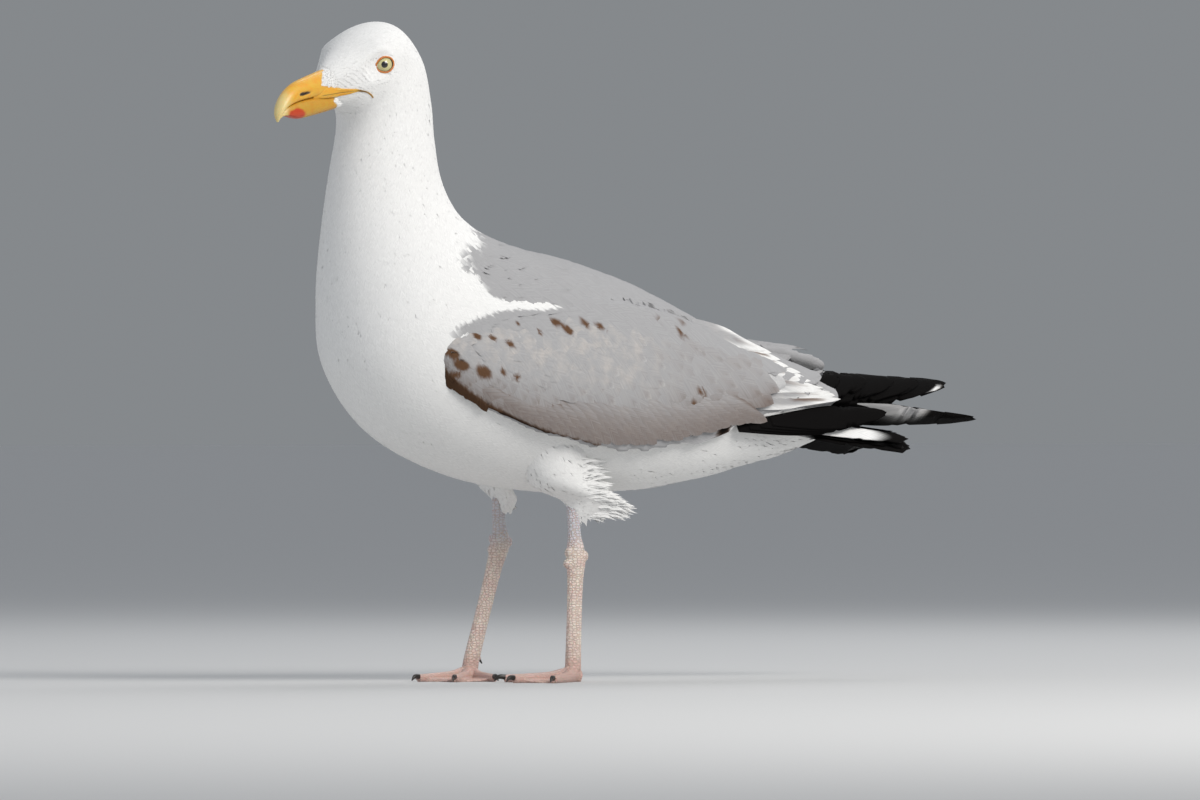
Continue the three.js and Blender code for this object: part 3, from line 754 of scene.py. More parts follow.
def coat_depth(t):
    """How far the feathers' tips stand off the skin along the body: thin on the face, deep on the breast."""
    return np.interp(t, [0, 0.1, 0.3, 0.5, 0.7, 0.85, 0.95, 1], [1.9, 1.8, 1.5, 1.3, 1.0, 0.75, 0.6, 0.5])


def colour_choice(name, description, default):
    return FloatVectorProperty(name=name, description=description, subtype="COLOR", size=3, default=default)


class Look(PropertyGroup):
    """Colours and sizes that can be changed."""

    white: colour_choice("White", "White plumage", (0.86, 0.855, 0.84))
    grey: colour_choice("Grey", "Grey of the back and wings", (0.39, 0.387, 0.392))
    brown: colour_choice("Brown", "Young bird's brown left in the wing", (0.125, 0.066, 0.036))
    dark: colour_choice("Dark", "Black-brown of the wing tips", (0.0036, 0.0031, 0.003))
    worn: colour_choice("Worn", "Faded, warmer grey of old feathers", (0.53, 0.495, 0.465))
    bill: colour_choice("Bill", "Yellow of the bill", (0.74, 0.42, 0.045))
    iris: colour_choice("Iris", "Pale ring of the eye", (0.66, 0.62, 0.32))
    tuft_area: FloatProperty(name="Tuft area", description="Body surface for each small feather, square millimetres",
                             default=7.5, min=2, max=60)
    camera_height: FloatProperty(name="Camera height", description="Height of the lens above the floor",
                                 default=0.166, unit="LENGTH")
    camera_distance: FloatProperty(name="Camera distance", description="From the lens to the bird", default=9.0,
                                   unit="LENGTH")


def look():
    return bpy.context.scene.gull_look


MADE = {}


def shared(name, make):
    """A material, node group or face that is made once, the first time it is asked for."""
    if name not in MADE:
        MADE[name] = make()
    return MADE[name]


def plumage():
    return shared("plumage", plumage_material)


# ---- The unwrapped skin: body below, wings and thighs above ----
def unwrap_body(u, v):
    return np.stack([0.03 + 0.94 * ((v / (2 * np.pi)) % 1), 0.03 + 0.5 * np.clip(u, 0, 1)], -1)


def unwrap_wing(side):
    left = 0.03 if side > 0 else 0.52
    return lambda u, v: np.stack([left + 0.44 * np.clip(u, -0.05, 1.05), 0.58 + 0.17 * np.clip(v, 0, 1)], -1)


def unwrap_back(u, v):
    return np.stack([0.03 + 0.55 * np.clip(u, 0, 1), 0.8 + 0.15 * (v / 4 + 0.5)], -1)


def unwrap_bill(u, v):
    return np.stack([0.6 + 0.35 * ((v / (2 * np.pi)) % 1), 0.54 + 0.03 * np.clip(u * 2, 0, 1)], -1)


# ---- Whole shapes, for the skin and for testing what lies over what ----
PAD_THICK = 8  # of the wing's pad
PAD_INSET, PAD_REAR = 1.3, 2.4  # how deep the pad's outer face lies in the skin, and how much more at its rear


def body_shell(inset=0.0, rows=150, around=96):
    t, a = grid(np.linspace(0.0, 1.0, rows), circle(around))
    place, normal = BODY.at(t, a)
    depth = coat_depth(t)[..., None] * inset
    return tube((place - normal * depth)[:, ::-1])


def wing_shell(side, inset=0.0, rows=70, across=14, rear=0.0):
    """The wing's pad: the outer face and, behind it, an inner face; the rear part lies deeper by rear."""
    s, v = grid(np.linspace(0.005, 0.995, rows), np.linspace(0.0, 1.0, across))
    place, normal = WINGS[side].at(s, v)
    outer = place - normal * (inset + rear * smooth(s, 0.5, 0.26))[..., None]
    inner = place - normal * (PAD_THICK + inset)
    rings = np.concatenate([outer, inner[:, ::-1][:, 1:-1]], 1)
    return tube(rings if side > 0 else rings[:, ::-1])


def thigh_ring(leg, k):
    """Centre, half width and half depth of the feathered thigh at k from hip to cuff."""
    hx, hy, hz = leg["hip"]
    _, cy, cz = leg["cuff"]
    tuft = leg["tuft"]
    y = through([hy, (hy + cy) / 2, cy + tuft * 0.6, cy + tuft * 0.6], k)
    z = through([hz + 14, hz + (cz - hz) * 0.4, hz + (cz - hz) * 0.78, cz - 1.5], k)
    wide = through([19, 15, 9.5, 4.5], k)
    deep = through([25, tuft + 2, tuft, tuft * 0.74], k)
    return hx + 0 * k, y, z, wide, deep


def thigh(name):
    leg = LEGS[name]

    def place(u, v):
        u, v = np.broadcast_arrays(np.asarray(u, float), np.asarray(v, float))
        x, y, z, wide, deep = thigh_ring(leg, 1 - u)
        return np.stack([x + np.sin(v) * wide, y - MID_LENGTH - np.cos(v) * deep, z], -1)

    return Surface(place, -1)


def thigh_shell(name, inset=0.0):
    place, normal = thigh(name).at(*grid(np.linspace(0.0, 1.0, 24), circle(32)))
    return tube(place - normal * inset)


def remeshed(name, shells, voxel, rounds):
    """One closed skin over several shells that run into one another."""
    points, faces = joined(shells)
    mesh = mesh_of(name, points, faces)
    made = bpy.data.objects.new(name, mesh)
    bpy.context.scene.collection.objects.link(made)
    remesh = made.modifiers.new("skin", "REMESH")
    remesh.mode = "VOXEL"
    remesh.voxel_size = voxel * MM
    made.modifiers.new("soften", "SMOOTH").iterations = rounds
    made_mesh = bpy.data.meshes.new_from_object(made.evaluated_get(bpy.context.evaluated_depsgraph_get()))
    bpy.data.objects.remove(made)
    made_mesh.name = name
    made_mesh.shade_smooth()
    return made_mesh


def vertices_mm(mesh):
    co = np.empty(len(mesh.vertices) * 3, np.float32)
    mesh.vertices.foreach_get("co", co)
    return co.reshape(-1, 3).astype(float) / MM


class GULL_OT_skin(Operator):
    """One skin under all the feathers of the body, the wings and the thighs"""

    bl_idname = "gull.skin"
    bl_label = "Skin"

    def execute(self, context):
        shells = [body_shell(1.0), back_shell(1.6)]
        pads = [wing_shell(side, PAD_INSET, rear=PAD_REAR) for _, side in SIDES]
        for (name, _), pad in zip(SIDES, pads):
            shells += [pad, thigh_shell(name, 1.1)]
        mesh = remeshed("skin", shells, 2.3, 3)
        p = vertices_mm(mesh)
        down = round_back(p)
        edge = level(MANTLE_EDGE, down)
        grey = smooth(p[:, 1], edge - 4, edge + 4) * smooth(down, 115, 88)
        grey = np.maximum(grey, 0.95 * smooth(min_distance(p, [bvh_of(*pad) for pad in pads]), 3.0, 1.4))
        put_marks(mesh, np.stack([grey, 0 * grey, 0 * grey], -1))
        skin = new_object("skin", mesh, shared("downy_skin", skin_material))
        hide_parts("trunk", "neck", "head", "thigh_left", "thigh_right", "wing_left_coverts",
                    "wing_right_coverts")
        finish(skin)
        return {"FINISHED"}


def finish(piece):
    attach(piece, "root")


# ---- Small white feathers of head, neck, breast and belly ----
TUFT = Kind(4, 4, tip=0.42, fray=0.08, root=0.45, camber=0.1, soft=0.92, shut=0.62, dip=0.3)
LOOSE_TUFT = Kind(4, 4, tip=0.45, fray=0.1, root=0.45, camber=0.12, soft=0.9, shut=0.5, dip=0.3)


def white(x, y, at, uu, vv, place):
    return np.zeros((*place.shape[:-1], 3))


def white_to_grey(x, y, at, uu, vv, place):
    """White, greying where the coat runs in under the first feathers of the back."""
    down = round_back(place)
    start = level(MANTLE_EDGE, down) + 5 * np.sin(at["id"])[:, None]
    grey = smooth(place[..., 1], start - 9, start + 6) * smooth(down, 106, 94) * smooth(uu, 0.64, 0.58)
    grey = grey * ~in_gap(place[..., 1], place[..., 2])
    return np.stack([0.9 * grey, 0 * grey, 0 * grey], -1)


def no_nearer_than(places, centre, reach):
    return np.linalg.norm(places - centre, axis=-1) > reach


class GULL_OT_coat(Operator):
    """Small white feathers from the bill to the tail"""

    bl_idname = "gull.coat"
    bl_label = "White coat"

    def execute(self, context):
        area = look().tuft_area
        wing_trees = [bvh_of(*wing_shell(side)) for _, side in SIDES]
        # name, stretch of the body, shares of the full area at its ends, lengths and widths at its ends
        stretches = (
            ("coat_face", (0.86, 0.995), (0.34, 0.15), (5.4, 2.4), (2.8, 1.6)),
            ("coat_head", (0.74, 0.86), (0.62, 0.34), (8.5, 5.4), (3.9, 2.8)),
            ("coat_neck", (0.6, 0.74), (0.85, 0.62), (11.5, 8.5), (5.0, 3.9)),
            ("coat_breast", (0.44, 0.6), (1.3, 0.85), (15.0, 11.5), (6.4, 5.0)),
            ("coat_belly", (0.16, 0.44), (1.7, 1.3), (18.0, 15.0), (7.0, 6.4)),
            ("coat_vent", (0.0, 0.16), (1.6, 1.7), (22.0, 18.0), (7.2, 7.0)),
        )
        for k, (name, stretch, shares, lengths, widths) in enumerate(stretches):
            size = lambda u, v: area * np.interp(u, stretch, shares)
            u, v = spread(BODY, stretch, (0, 2 * np.pi), size, SEED + k)
            depth = coat_depth(u)
            length, width = np.interp(u, stretch, lengths), np.interp(u, stretch, widths)
            at = roots(u, v, SEED + 20 + k, length, width, -depth - 0.3, 0.0, 0.0, 0.1)
            rng = np.random.default_rng(SEED + 40 + k)
            under = smooth(-np.cos(v), 0.35, 0.9) * smooth(u, 0.36, 0.24)
            clump = 0.5 + 0.5 * np.sin(v * 9 + u * 60) * np.sin(v * 4 - u * 37)
            at["high"] = -depth * rng.uniform(0.0, 0.07, len(u)) + 1.1 * under * clump
            place, normal = BODY.at(u, v)
            mask = self.bare(place, normal, u, wing_trees)
            kind = LOOSE_TUFT if name == "coat_vent" else TUFT
            coat = feathers(name, BODY, kind, keep(at, mask), plumage(), white_to_grey, unwrap_body)
            finish(coat)
        return {"FINISHED"}

    def bare(self, place, normal, u, trees):
        """Which roots are kept: not under the wings or the grey of the back, nor on the eyes."""
        edge = level(MANTLE_EDGE, round_back(place))
        over_wing = np.interp(place[:, 1], WING[:, 0] - MID_LENGTH, WING[:, 2]) - 24
        grey = (place[:, 1] > edge + 5) & (place[:, 2] > over_wing) & ~in_gap(place[:, 1], place[:, 2])
        mask = ~(grey & (u < 0.55))
        for tree in trees:
            for i in np.nonzero(mask & (u < 0.55))[0]:
                hit = tree.ray_cast(Vector(place[i] - normal[i] * 2), Vector(normal[i]), 30)
                if hit[0] is not None and hit[3] > 2.6:
                    mask[i] = False
        for _, side in SIDES:
            mask &= no_nearer_than(place, around_eye(side, OPENING_FORWARD, 0, 0, ORBIT_OUT), OPENING + 0.95)
        return mask


# ---- Grey feathers of the back ----
BACK_FROM, BACK_UNTIL = -145, 172  # y of the foremost and hindmost slice of the back's face
BACK_ROUND = np.radians(112)
BACK_FAR, BACK_WIDEST, BACK_MISSED = 130, 64, 20  # where rays start, the face's limit, and its reach where they miss


def back_surface():
    """A face drawn over body and folded wings together, from the shoulders to the tertials."""
    tree = bvh_of(*joined([body_shell(), wing_shell(1), wing_shell(-1)]))
    ys = np.linspace(BACK_FROM, BACK_UNTIL, 90)
    phis = np.linspace(-BACK_ROUND, BACK_ROUND, 97)
    axis_z = np.interp(ys, [-145, -60, 0, 100, 172], [212, 202, 192, 175, 168])
    reach = np.empty((len(ys), len(phis)))
    for i, (y, z) in enumerate(zip(ys, axis_z)):
        for j, phi in enumerate(phis):
            way = Vector((np.sin(phi), 0, np.cos(phi)))
            hit = tree.ray_cast(Vector((0, y, z)) + way * BACK_FAR, -way, BACK_FAR)
            reach[i, j] = min(BACK_FAR - hit[3], BACK_WIDEST) if hit[0] is not None else BACK_MISSED
    for _ in range(2):
        padded = np.pad(reach, 1, mode="edge")
        reach = (padded[1:-1, 1:-1] * 2 + padded[:-2, 1:-1] + padded[2:, 1:-1] + padded[1:-1, :-2]
                 + padded[1:-1, 2:]) / 6

    def place(u, v):
        u, v = np.broadcast_arrays(np.asarray(u, float), np.asarray(v, float))
        i = np.clip((1 - u) * (len(ys) - 1), 0, len(ys) - 1.001)
        j = np.clip((v + BACK_ROUND) / (2 * BACK_ROUND) * (len(phis) - 1), 0, len(phis) - 1.001)
        i0, j0 = i.astype(int), j.astype(int)
        fi, fj = i - i0, j - j0
        r = ((reach[i0, j0] * (1 - fi) + reach[i0 + 1, j0] * fi) * (1 - fj)
             + (reach[i0, j0 + 1] * (1 - fi) + reach[i0 + 1, j0 + 1] * fi) * fj)
        y = np.interp(i, np.arange(len(ys)), ys)
        z = np.interp(i, np.arange(len(ys)), axis_z)
        return np.stack([np.sin(v) * r, y, z + np.cos(v) * r], -1)

    return Surface(place, 1, (0.01, 0.99), (-BACK_ROUND + 0.03, BACK_ROUND - 0.03))


def back_shell(inset):
    """Fills the seam between back and wings, down to the tertials."""
    u, v = grid(np.linspace(0.2, 0.9, 70), np.linspace(-BACK_ROUND + 0.3, BACK_ROUND - 0.3, 60))
    place, normal = shared("back_face", back_surface).at(u, v)
    return tube((place - normal * inset)[:, ::-1])


MANTLE = Kind(6, 6, tip=0.42, fray=0.03, root=0.5, camber=0.06, soft=0.75, shut=0.66, dip=0.26)


class GULL_OT_back(Operator):
    """Grey feathers of the back and shoulders"""

    bl_idname = "gull.back"
    bl_label = "Grey back"

    def execute(self, context):
        surface = shared("back_face", back_surface)
        u, v = spread(surface, (0.02, 0.98), (-BACK_ROUND + 0.06, BACK_ROUND - 0.06), 62, SEED + 60, (500, 300))
        place, _ = surface.at(u, v)
        degrees = np.abs(np.degrees(v))
        edge = level(MANTLE_EDGE, degrees)
        low = np.interp(place[:, 1], [-135, -100, -60, 20, 80, 120, 170], [100, 98, 84, 69, 59, 48, 38])
        mask = (place[:, 1] > edge - 2) & (degrees < low) & (place[:, 1] < 112) & ~in_gap(place[:, 1], place[:, 2])
        size = np.interp(place[:, 1], [-130, -80, 0, 80, 170], [13, 17, 24, 30, 34])
        turn = -np.sign(v) * -0.16
        at = roots(u, v, SEED + 61, size * 1.25, size, -1.9, 0.3, turn, 0.08, 0.1)
        at["high"] = np.random.default_rng(SEED + 62).uniform(-0.45, 0.05, len(u))

        def marks(x, y, at, uu, vv, place):
            along, _, chance = vane_shares(x, y, at)
            grey = 1 - 0.16 * smooth(along, 0.86, 1.0) - 0.07 * chance
            start = level(MANTLE_EDGE, np.abs(np.degrees(vv))) + 4 * np.sin(at["id"])[:, None]
            grey = grey * smooth(place[..., 1], start - 7, start + 8)
            brown = blotched(place[..., 1], place[..., 2]) * (np.abs(vv) > np.radians(48))
            return np.stack([grey, brown, 0 * grey], -1)

        back = feathers("back_feathers", surface, MANTLE, keep(at, mask), plumage(), marks, unwrap_back)
        finish(back)
        return {"FINISHED"}


# ---- Wings ----
COVERT = Kind(6, 6, tip=0.4, fray=0.03, root=0.5, camber=0.06, soft=0.72, shut=0.66, dip=0.26)
GREATER_COVERT = Kind(12, 8, tip=0.35, fray=0.012, root=0.6, camber=0.1, soft=0.35, shut=0.7, step=0.4)
TERTIAL = Kind(12, 8, tip=0.3, fray=0.012, root=0.55, camber=0.08, soft=0.2, shut=0.72, step=0.5)
QUILL = Kind(60, 10, tip=0.16, fray=0.008, root=0.4, camber=0.07, shut=0.6, wear=0.5, soft=0.2)


def vane_shares(x, y, at):
    """How far along a feather and how far out from its shaft, from 0 to 1, and a chance number of its own."""
    along, across = y / at["length"][:, None], np.abs(x) / at["width"][:, None] * 2
    return along, across, (at["id"][:, None] * CHANCE) % 1


def above_edge(uu, vv):
    """Height over the wing's lower edge, millimetres."""
    return vv * np.interp(1 - uu, np.linspace(0, 1, len(WING)), WING[:, 2] - WING[:, 4])


def brown_edge(uu, vv):
    return smooth(above_edge(uu, vv), 5.2, 2.2) * smooth(uu, 0.52, 0.66)


def covert_marks(x, y, at, uu, vv, place):
    along, across, chance = vane_shares(x, y, at)
    brown = blotched(place[..., 1], place[..., 2])
    edge = brown_edge(uu, vv)
    rim = smooth(along, 0.84, 1.0)
    # browner toward the lower edge: partly the wing's own brown wash, partly painted shade where the wing turns under
    wash_and_shade = 0.06 + 0.34 * smooth(vv, 0.5, 0.08) + 0.08 * chance + 0.14 * smooth(uu, 0.6, 0.35)
    worn = np.clip(smooth(vv, 0.3, 0.6) * smooth(uu, 0.4, 0.62) * (0.45 + 0.5 * chance) + 0.12, 0, 1)
    worn = worn * smooth(along, 0.1, 0.6)
    shaft = smooth(across, 0.3, 0.0) * smooth(along, 0.3, 0.7)
    wash_and_shade = wash_and_shade + 0.08 * shaft + 0.06 * smooth(along, 0.7, 0.84) * (1 - rim)
    grey = 1 - 0.28 * rim - 0.16 * chance
    # dark toward the lower edge as painted shade where the wing turns under; the brown front edge's darkening is its
    # own colour
    dark = np.maximum(0.5 * edge, 0.2 * smooth(vv, 0.4, 0.05))
    return np.stack([grey, np.maximum(np.maximum(brown, edge), wash_and_shade), dark, worn], -1)


def greater_marks(x, y, at, uu, vv, place):
    along, across, _ = vane_shares(x, y, at)
    rim = smooth(across, 0.7, 1.0) * smooth(along, 0.15, 0.4)
    brown = brown_edge(uu, vv)
    # browner toward the lower edge: partly the feathers' own brown wash, partly painted shade where the wing turns
    # under
    wash_and_shade = 0.2 + 0.26 * smooth(vv, 0.45, 0.08) + 0.1 * smooth(across, 0.6, 0.0)
    # a darker line inside each side rim: painted shadow between overlapping feathers
    wash_and_shade = wash_and_shade + 0.25 * smooth(across, 0.45, 0.7) * smooth(across, 0.95, 0.8)
    # dark toward the lower edge as painted shade where the wing turns under, over the brown front edge's own colour
    dark = np.maximum(0.7 * brown, 0.2 * smooth(vv, 0.4, 0.05))
    return np.stack([1 - 0.3 * rim, np.maximum(brown, wash_and_shade), dark, 0.2 + 0 * rim], -1)


def tertial_marks(x, y, at, uu, vv, place):
    along, across, chance = vane_shares(x, y, at)
    streak = np.sin(x * 2.3 + at["id"][:, None] + y * 0.05) * 0.5 + 0.5
    centre = smooth(along, 0.45, 0.6) * smooth(along, 0.9, 0.8) * smooth(across, 0.55, 0.1)
    centre = centre * (0.2 + 0.7 * streak * chance)
    pale = np.maximum(smooth(along, 0.45, 0.9), smooth(across, 0.3, 0.95) * smooth(along, 0.2, 0.5))
    # the far wing's tertials (x < 0) are paled as painted light, to look as lit as the near wing's
    pale = np.maximum(pale, 0.4 * (place[..., 0] < 0))
    grey = (1 - pale) * (0.75 + 0.25 * streak) + 0.12 * streak * smooth(along, 0.95, 0.7)
    return np.stack([grey, centre, 0.2 * centre, 0.2 + 0 * along], -1)


def secondary_marks(x, y, at, uu, vv, place):
    along, across, _ = vane_shares(x, y, at)
    dark = smooth(along, 0.72, 0.82) * smooth(along, 0.97, 0.9) * smooth(across, 0.9, 0.4)
    return np.stack([1 - 0.9 * smooth(along, 0.9, 0.98), dark, dark * 0.8], -1)


def primary_marks(along, across, i, side):
    worn = smooth(along, 0.93, 1.0)
    spot = np.exp(-(((along - 0.955) / 0.02) ** 2) - ((across - 0.45) / 0.3) ** 2) * (i == 0)
    # the far wing shows the pale inner webs of its longest feathers
    inner = smooth(across * side, -0.1, -0.3) * smooth(along, 0.2, 0.4) * smooth(along, 0.93, 0.8)
    pale = inner * (side < 0) * (i == 0)
    bare = np.maximum(spot, pale)
    worn = np.maximum(worn, 0.5 * smooth(np.abs(across), 0.78, 1.0) + 0.35 * smooth(np.abs(across), 0.2, 0.0))
    return np.stack([0.95 * pale, (0.1 + 0.6 * worn) * (1 - bare), (1 - 0.12 * worn) * (1 - bare)], -1)


def tail_marks(along, across, i, side):
    edge = side > 0 and i == TAIL_PAIRS - 1
    # dark from mid-tail: toward the tip the tail's own dark band, nearer the root painted shade of its underside; the
    # near outer feather stays white until 0.7
    band_and_shade = smooth(along, 0.7, 0.95) if edge else smooth(along, 0.3, 0.45)
    tip = smooth(along, 0.97, 1.0)
    return np.stack([0 * along, band_and_shade * 0.1, band_and_shade * (0.96 - 0.2 * tip)], -1)


def quill_points(root, tip, width, facing, kind, number):
    """A stiff feather from root to tip, its face along facing, its edges notched by wear. Returns points, x and y."""
    along = unit(tip - root)
    normal = unit(facing - along * dot(facing, along))
    across = np.cross(along, normal)
    length = np.linalg.norm(tip - root)
    rng = np.random.default_rng(SEED + 500 + number)
    notch = np.zeros(len(kind.r))
    for at, deep in zip(rng.uniform(0.62, 0.99, 4), rng.uniform(0.08, 1.0, 4) * kind.wear):
        notch = np.maximum(notch, deep * np.exp(-(((kind.r - at) / 0.016) ** 2)))
    # the outer web is the narrower one
    x = kind.x * width / 2 * np.where(kind.x > 0, 1.12, 0.88) * (1 - notch * (np.abs(kind.c) > 0.7))
    y = kind.y * length + rng.uniform(-2.2, 0.4, len(kind.r)) * (kind.r > 0.999) * np.minimum(1, kind.wear * 5)
    h = 0.5 - kind.camber * width / 2 * kind.c**2 * np.minimum(kind.r * 3, 1)
    place = root + x[:, None] * across + y[:, None] * along + h[:, None] * normal
    return place, x, y


def quills(name, list_of, kind, marks_of, patch_of):
    """A joined mesh of stiff feathers; list_of holds (root, tip, width, facing, number, side) for each."""
    places, marks, vanes, patches, faces, normals = [], [], [], [], [], []
    m = len(kind.r)
    for i, (root, tip, width, facing, number, side) in enumerate(list_of):
        root, tip, facing = (np.asarray(a, float) for a in (root, tip, facing))
        place, x, y = quill_points(root, tip, width, facing, kind, i)
        places.append(place)
        normals.append(np.repeat(unit(facing)[None], m, 0))
        marks.append(marks_of(kind.r, kind.c, number, side))
        vanes.append(np.stack([x / 10, y / 10 + i * 31.7], -1))
        patches.append(np.array(patch_of(i)) + kind.patch)
        faces.append([f + i * m for f in kind.faces])
    mesh = mesh_of(name, np.concatenate(places), [np.concatenate(f) for f in zip(*faces)])
    put_marks(mesh, np.concatenate(marks))
    put_uv(mesh, "Vane", np.concatenate(vanes))
    put_uv(mesh, "OFBake", np.concatenate(patches))
    if kind.soft > 0.5:
        shade_tops(mesh, np.concatenate(normals), len(list_of) * len(kind.faces[0]))
    return new_object(name, mesh, plumage())


def rooted(tip_s, tip_v, length, turn, tall):
    """u and v of the roots of wing feathers, from their tips; tall is the wing's height there, millimetres."""
    return 1 - tip_s + length * np.cos(turn) / WING_LONG, tip_v + length * np.sin(turn) / tall


class GULL_OT_wings(Operator):
    """Coverts, tertials, secondaries and primaries of both folded wings"""

    bl_idname = "gull.wings"
    bl_label = "Wings"

    def execute(self, context):
        for name, side in SIDES:
            self.coverts(name, side)
            self.tertials(name, side)
            self.primaries(name, side)
        return {"FINISHED"}

    def coverts(self, name, side):
        surface = WINGS[side]
        size_of = lambda u, v: (np.interp(u, [0.3, 0.6, 0.8, 1], [26, 20, 12, 8])
                                * np.interp(v, [0, 0.5, 1], [1, 1, 0.8]))
        area = lambda u, v: (size_of(u, v) * 0.42) ** 2
        u, v = spread(surface, (0.26, 1.0), (0.0, 1.0), area, SEED + 70 + side, (400, 240))
        above_greater = v > np.interp(u, [0.26, 0.7, 0.82, 1], [0.4, 0.4, 0.15, 0])
        under_back = v > np.interp(u, [0.26, 0.6, 0.75, 1], [0.84, 0.84, 0.92, 0.97])
        small = above_greater & ~under_back
        u, v = u[small], v[small]
        size = size_of(u, v)
        turn = side * np.interp(v, [0, 0.1, 0.35, 1], [0.15, 0.35, 0.62, 0.3])
        at = roots(u, v, SEED + 72 + side, size * 1.3, size * 0.9, -1.7, 0.0, turn, 0.07, 0.1)
        at["high"] = np.random.default_rng(SEED + 74 + side).uniform(-0.4, 0.1, len(u)) - 0.5 * smooth(v, 0.65, 0.35)
        coat = feathers(f"coverts_{name}", surface, COVERT, at, plumage(), covert_marks, unwrap_wing(side))
        finish(coat)
        k = np.arange(33)
        tip_s, length = 0.2 + 0.019 * k, 34 + 0.75 * k
        tip_v = np.interp(k, [0, 12], [0.16, 0.03])
        turn = np.radians(np.interp(k, [0, 14], [4, 31]))
        width = np.interp(k, [0, 12], [9, 17])
        u, v = rooted(tip_s, tip_v, length, turn, 80)
        at = roots(u, v, SEED + 76 + side, length, width, 0, 0, side * turn, 0.02, 0.03)
        at["low"], at["high"] = -1.9 + 0.02 * k, -0.5 + 0.03 * k
        coat = feathers(f"greater_coverts_{name}", surface, GREATER_COVERT, at, plumage(), greater_marks,
                        unwrap_wing(side))
        finish(coat)

    def tertials(self, name, side):
        surface = BLADES[side]
        # from the lowest and longest up to the shortest, which lies over the others
        t = np.linspace(0, 1, 13)
        tip_s, tip_v, length = 1.0 - 0.17 * t**1.5, 0.08 + 0.86 * t, 92 - 30 * t
        turn = np.radians(10) * (1 - t**2)
        u, v = rooted(tip_s, tip_v, length, turn, 66)
        at = roots(u, v, SEED + 80 + side, length, 22 - 4 * t, 0, 0, side * turn, 0.02, 0.04)
        at["low"], at["high"] = -2.4 + 1.8 * t, -0.6 + 2.6 * t
        coat = feathers(f"tertials_{name}", surface, TERTIAL, at, plumage(), tertial_marks, unwrap_wing(side))
        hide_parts(f"wing_{name}_tertials")
        finish(coat)
        k = np.arange(7)
        tip_s, tip_v, length = 0.58 + 0.025 * k, 0.05 - 0.008 * k, 58 + 0 * k
        u, v = 1 - tip_s + length / WING_LONG, tip_v + 0.16
        at = roots(u, v, SEED + 82 + side, length, 19, 0, 0, side * np.radians(10), 0.02, 0.03)
        at["low"], at["high"] = -4.0 + 0.1 * k, -1.6 + 0.12 * k
        coat = feathers(f"secondaries_{name}", surface, TERTIAL, at, plumage(), secondary_marks, unwrap_wing(side))
        finish(coat)

    def primaries(self, name, side):
        spec = PRIMARIES[name]
        origin = np.array([0, -MID_LENGTH, 0])
        flip = np.array([side, 1, 1])
        end, start = (np.array(spec[k]) * flip + origin for k in ("tip", "root"))
        along = unit(end - start)
        lean = np.radians(spec["lean"])
        facing = np.array([side * np.sin(lean), 0, np.cos(lean)])
        stack = []
        inward = np.array([-side * 6.0, 0, 0])
        for i in range(spec["count"]):
            offset = facing * i * FEATHER_THICK * 0.6 + np.array([0, 0, i * 0.9])
            tip = end - along * i * PRIMARY_STEP + offset
            stack.append((start + offset + inward, tip, PRIMARY_WIDTH, facing, i, side))
        # the inner ones, which show below the tertials
        steep = np.array([side * np.sin(np.radians(66)), 0, np.cos(np.radians(66))])
        for i in range(4):
            root = np.array([side * (34.5 - 1.3 * i), 130 + 9 * i, 150 + 1.2 * i]) + origin
            way = unit(np.array([-side * 0.135, 1, 0.055]))
            stack.append((root, root + way * (114 - 7 * i), 16, steep, 6 + i, side))
        place = unwrap_wing(side)
        patch = lambda i: place(np.array(0.02), np.array(0.05 + 0.09 * i))
        coat = quills(f"primaries_{name}", stack, QUILL, primary_marks, patch)
        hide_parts(f"wing_{name}_primaries")
        finish(coat)


class GULL_OT_tail(Operator):
    """Tail feathers, folded"""

    bl_idname = "gull.tail"
    bl_label = "Tail"

    def execute(self, context):
        stack = []
        for i in range(TAIL_PAIRS):
            for side in (1, -1):
                under = -i * 0.75
                root = (side * i * 1.6, TAIL_ROOT[0] - MID_LENGTH, TAIL_ROOT[1] + under * 0.6)
                tip = (side * (3 + i * TAIL_SPREAD), TAIL_TIP[0] - i * 0.8 - MID_LENGTH, TAIL_TIP[1] - i * TAIL_DROOP)
                lean = np.radians(4 + i * TAIL_LEAN)
                width = TAIL_WIDTH
                if side > 0 and i == TAIL_PAIRS - 1:
                    tip, lean, width = (tip[0] + 2, tip[1] - 4, tip[2] + 6), np.radians(52), 9.5
                    root = (root[0] + 5, root[1], root[2] - 1)
                stack.append((root, tip, width, (side * np.sin(lean), 0, np.cos(lean)), i, side))
        kind = Kind(40, 10, tip=0.07, fray=0.01, root=0.5, camber=0.04, shut=0.8, wear=0.3, soft=0.2)
        patch = lambda i: (0.9, 0.6 + 0.02 * i)
        tail = quills("tail_feathers", stack, kind, tail_marks, patch)
        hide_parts("tail")
        finish(tail)
        return {"FINISHED"}


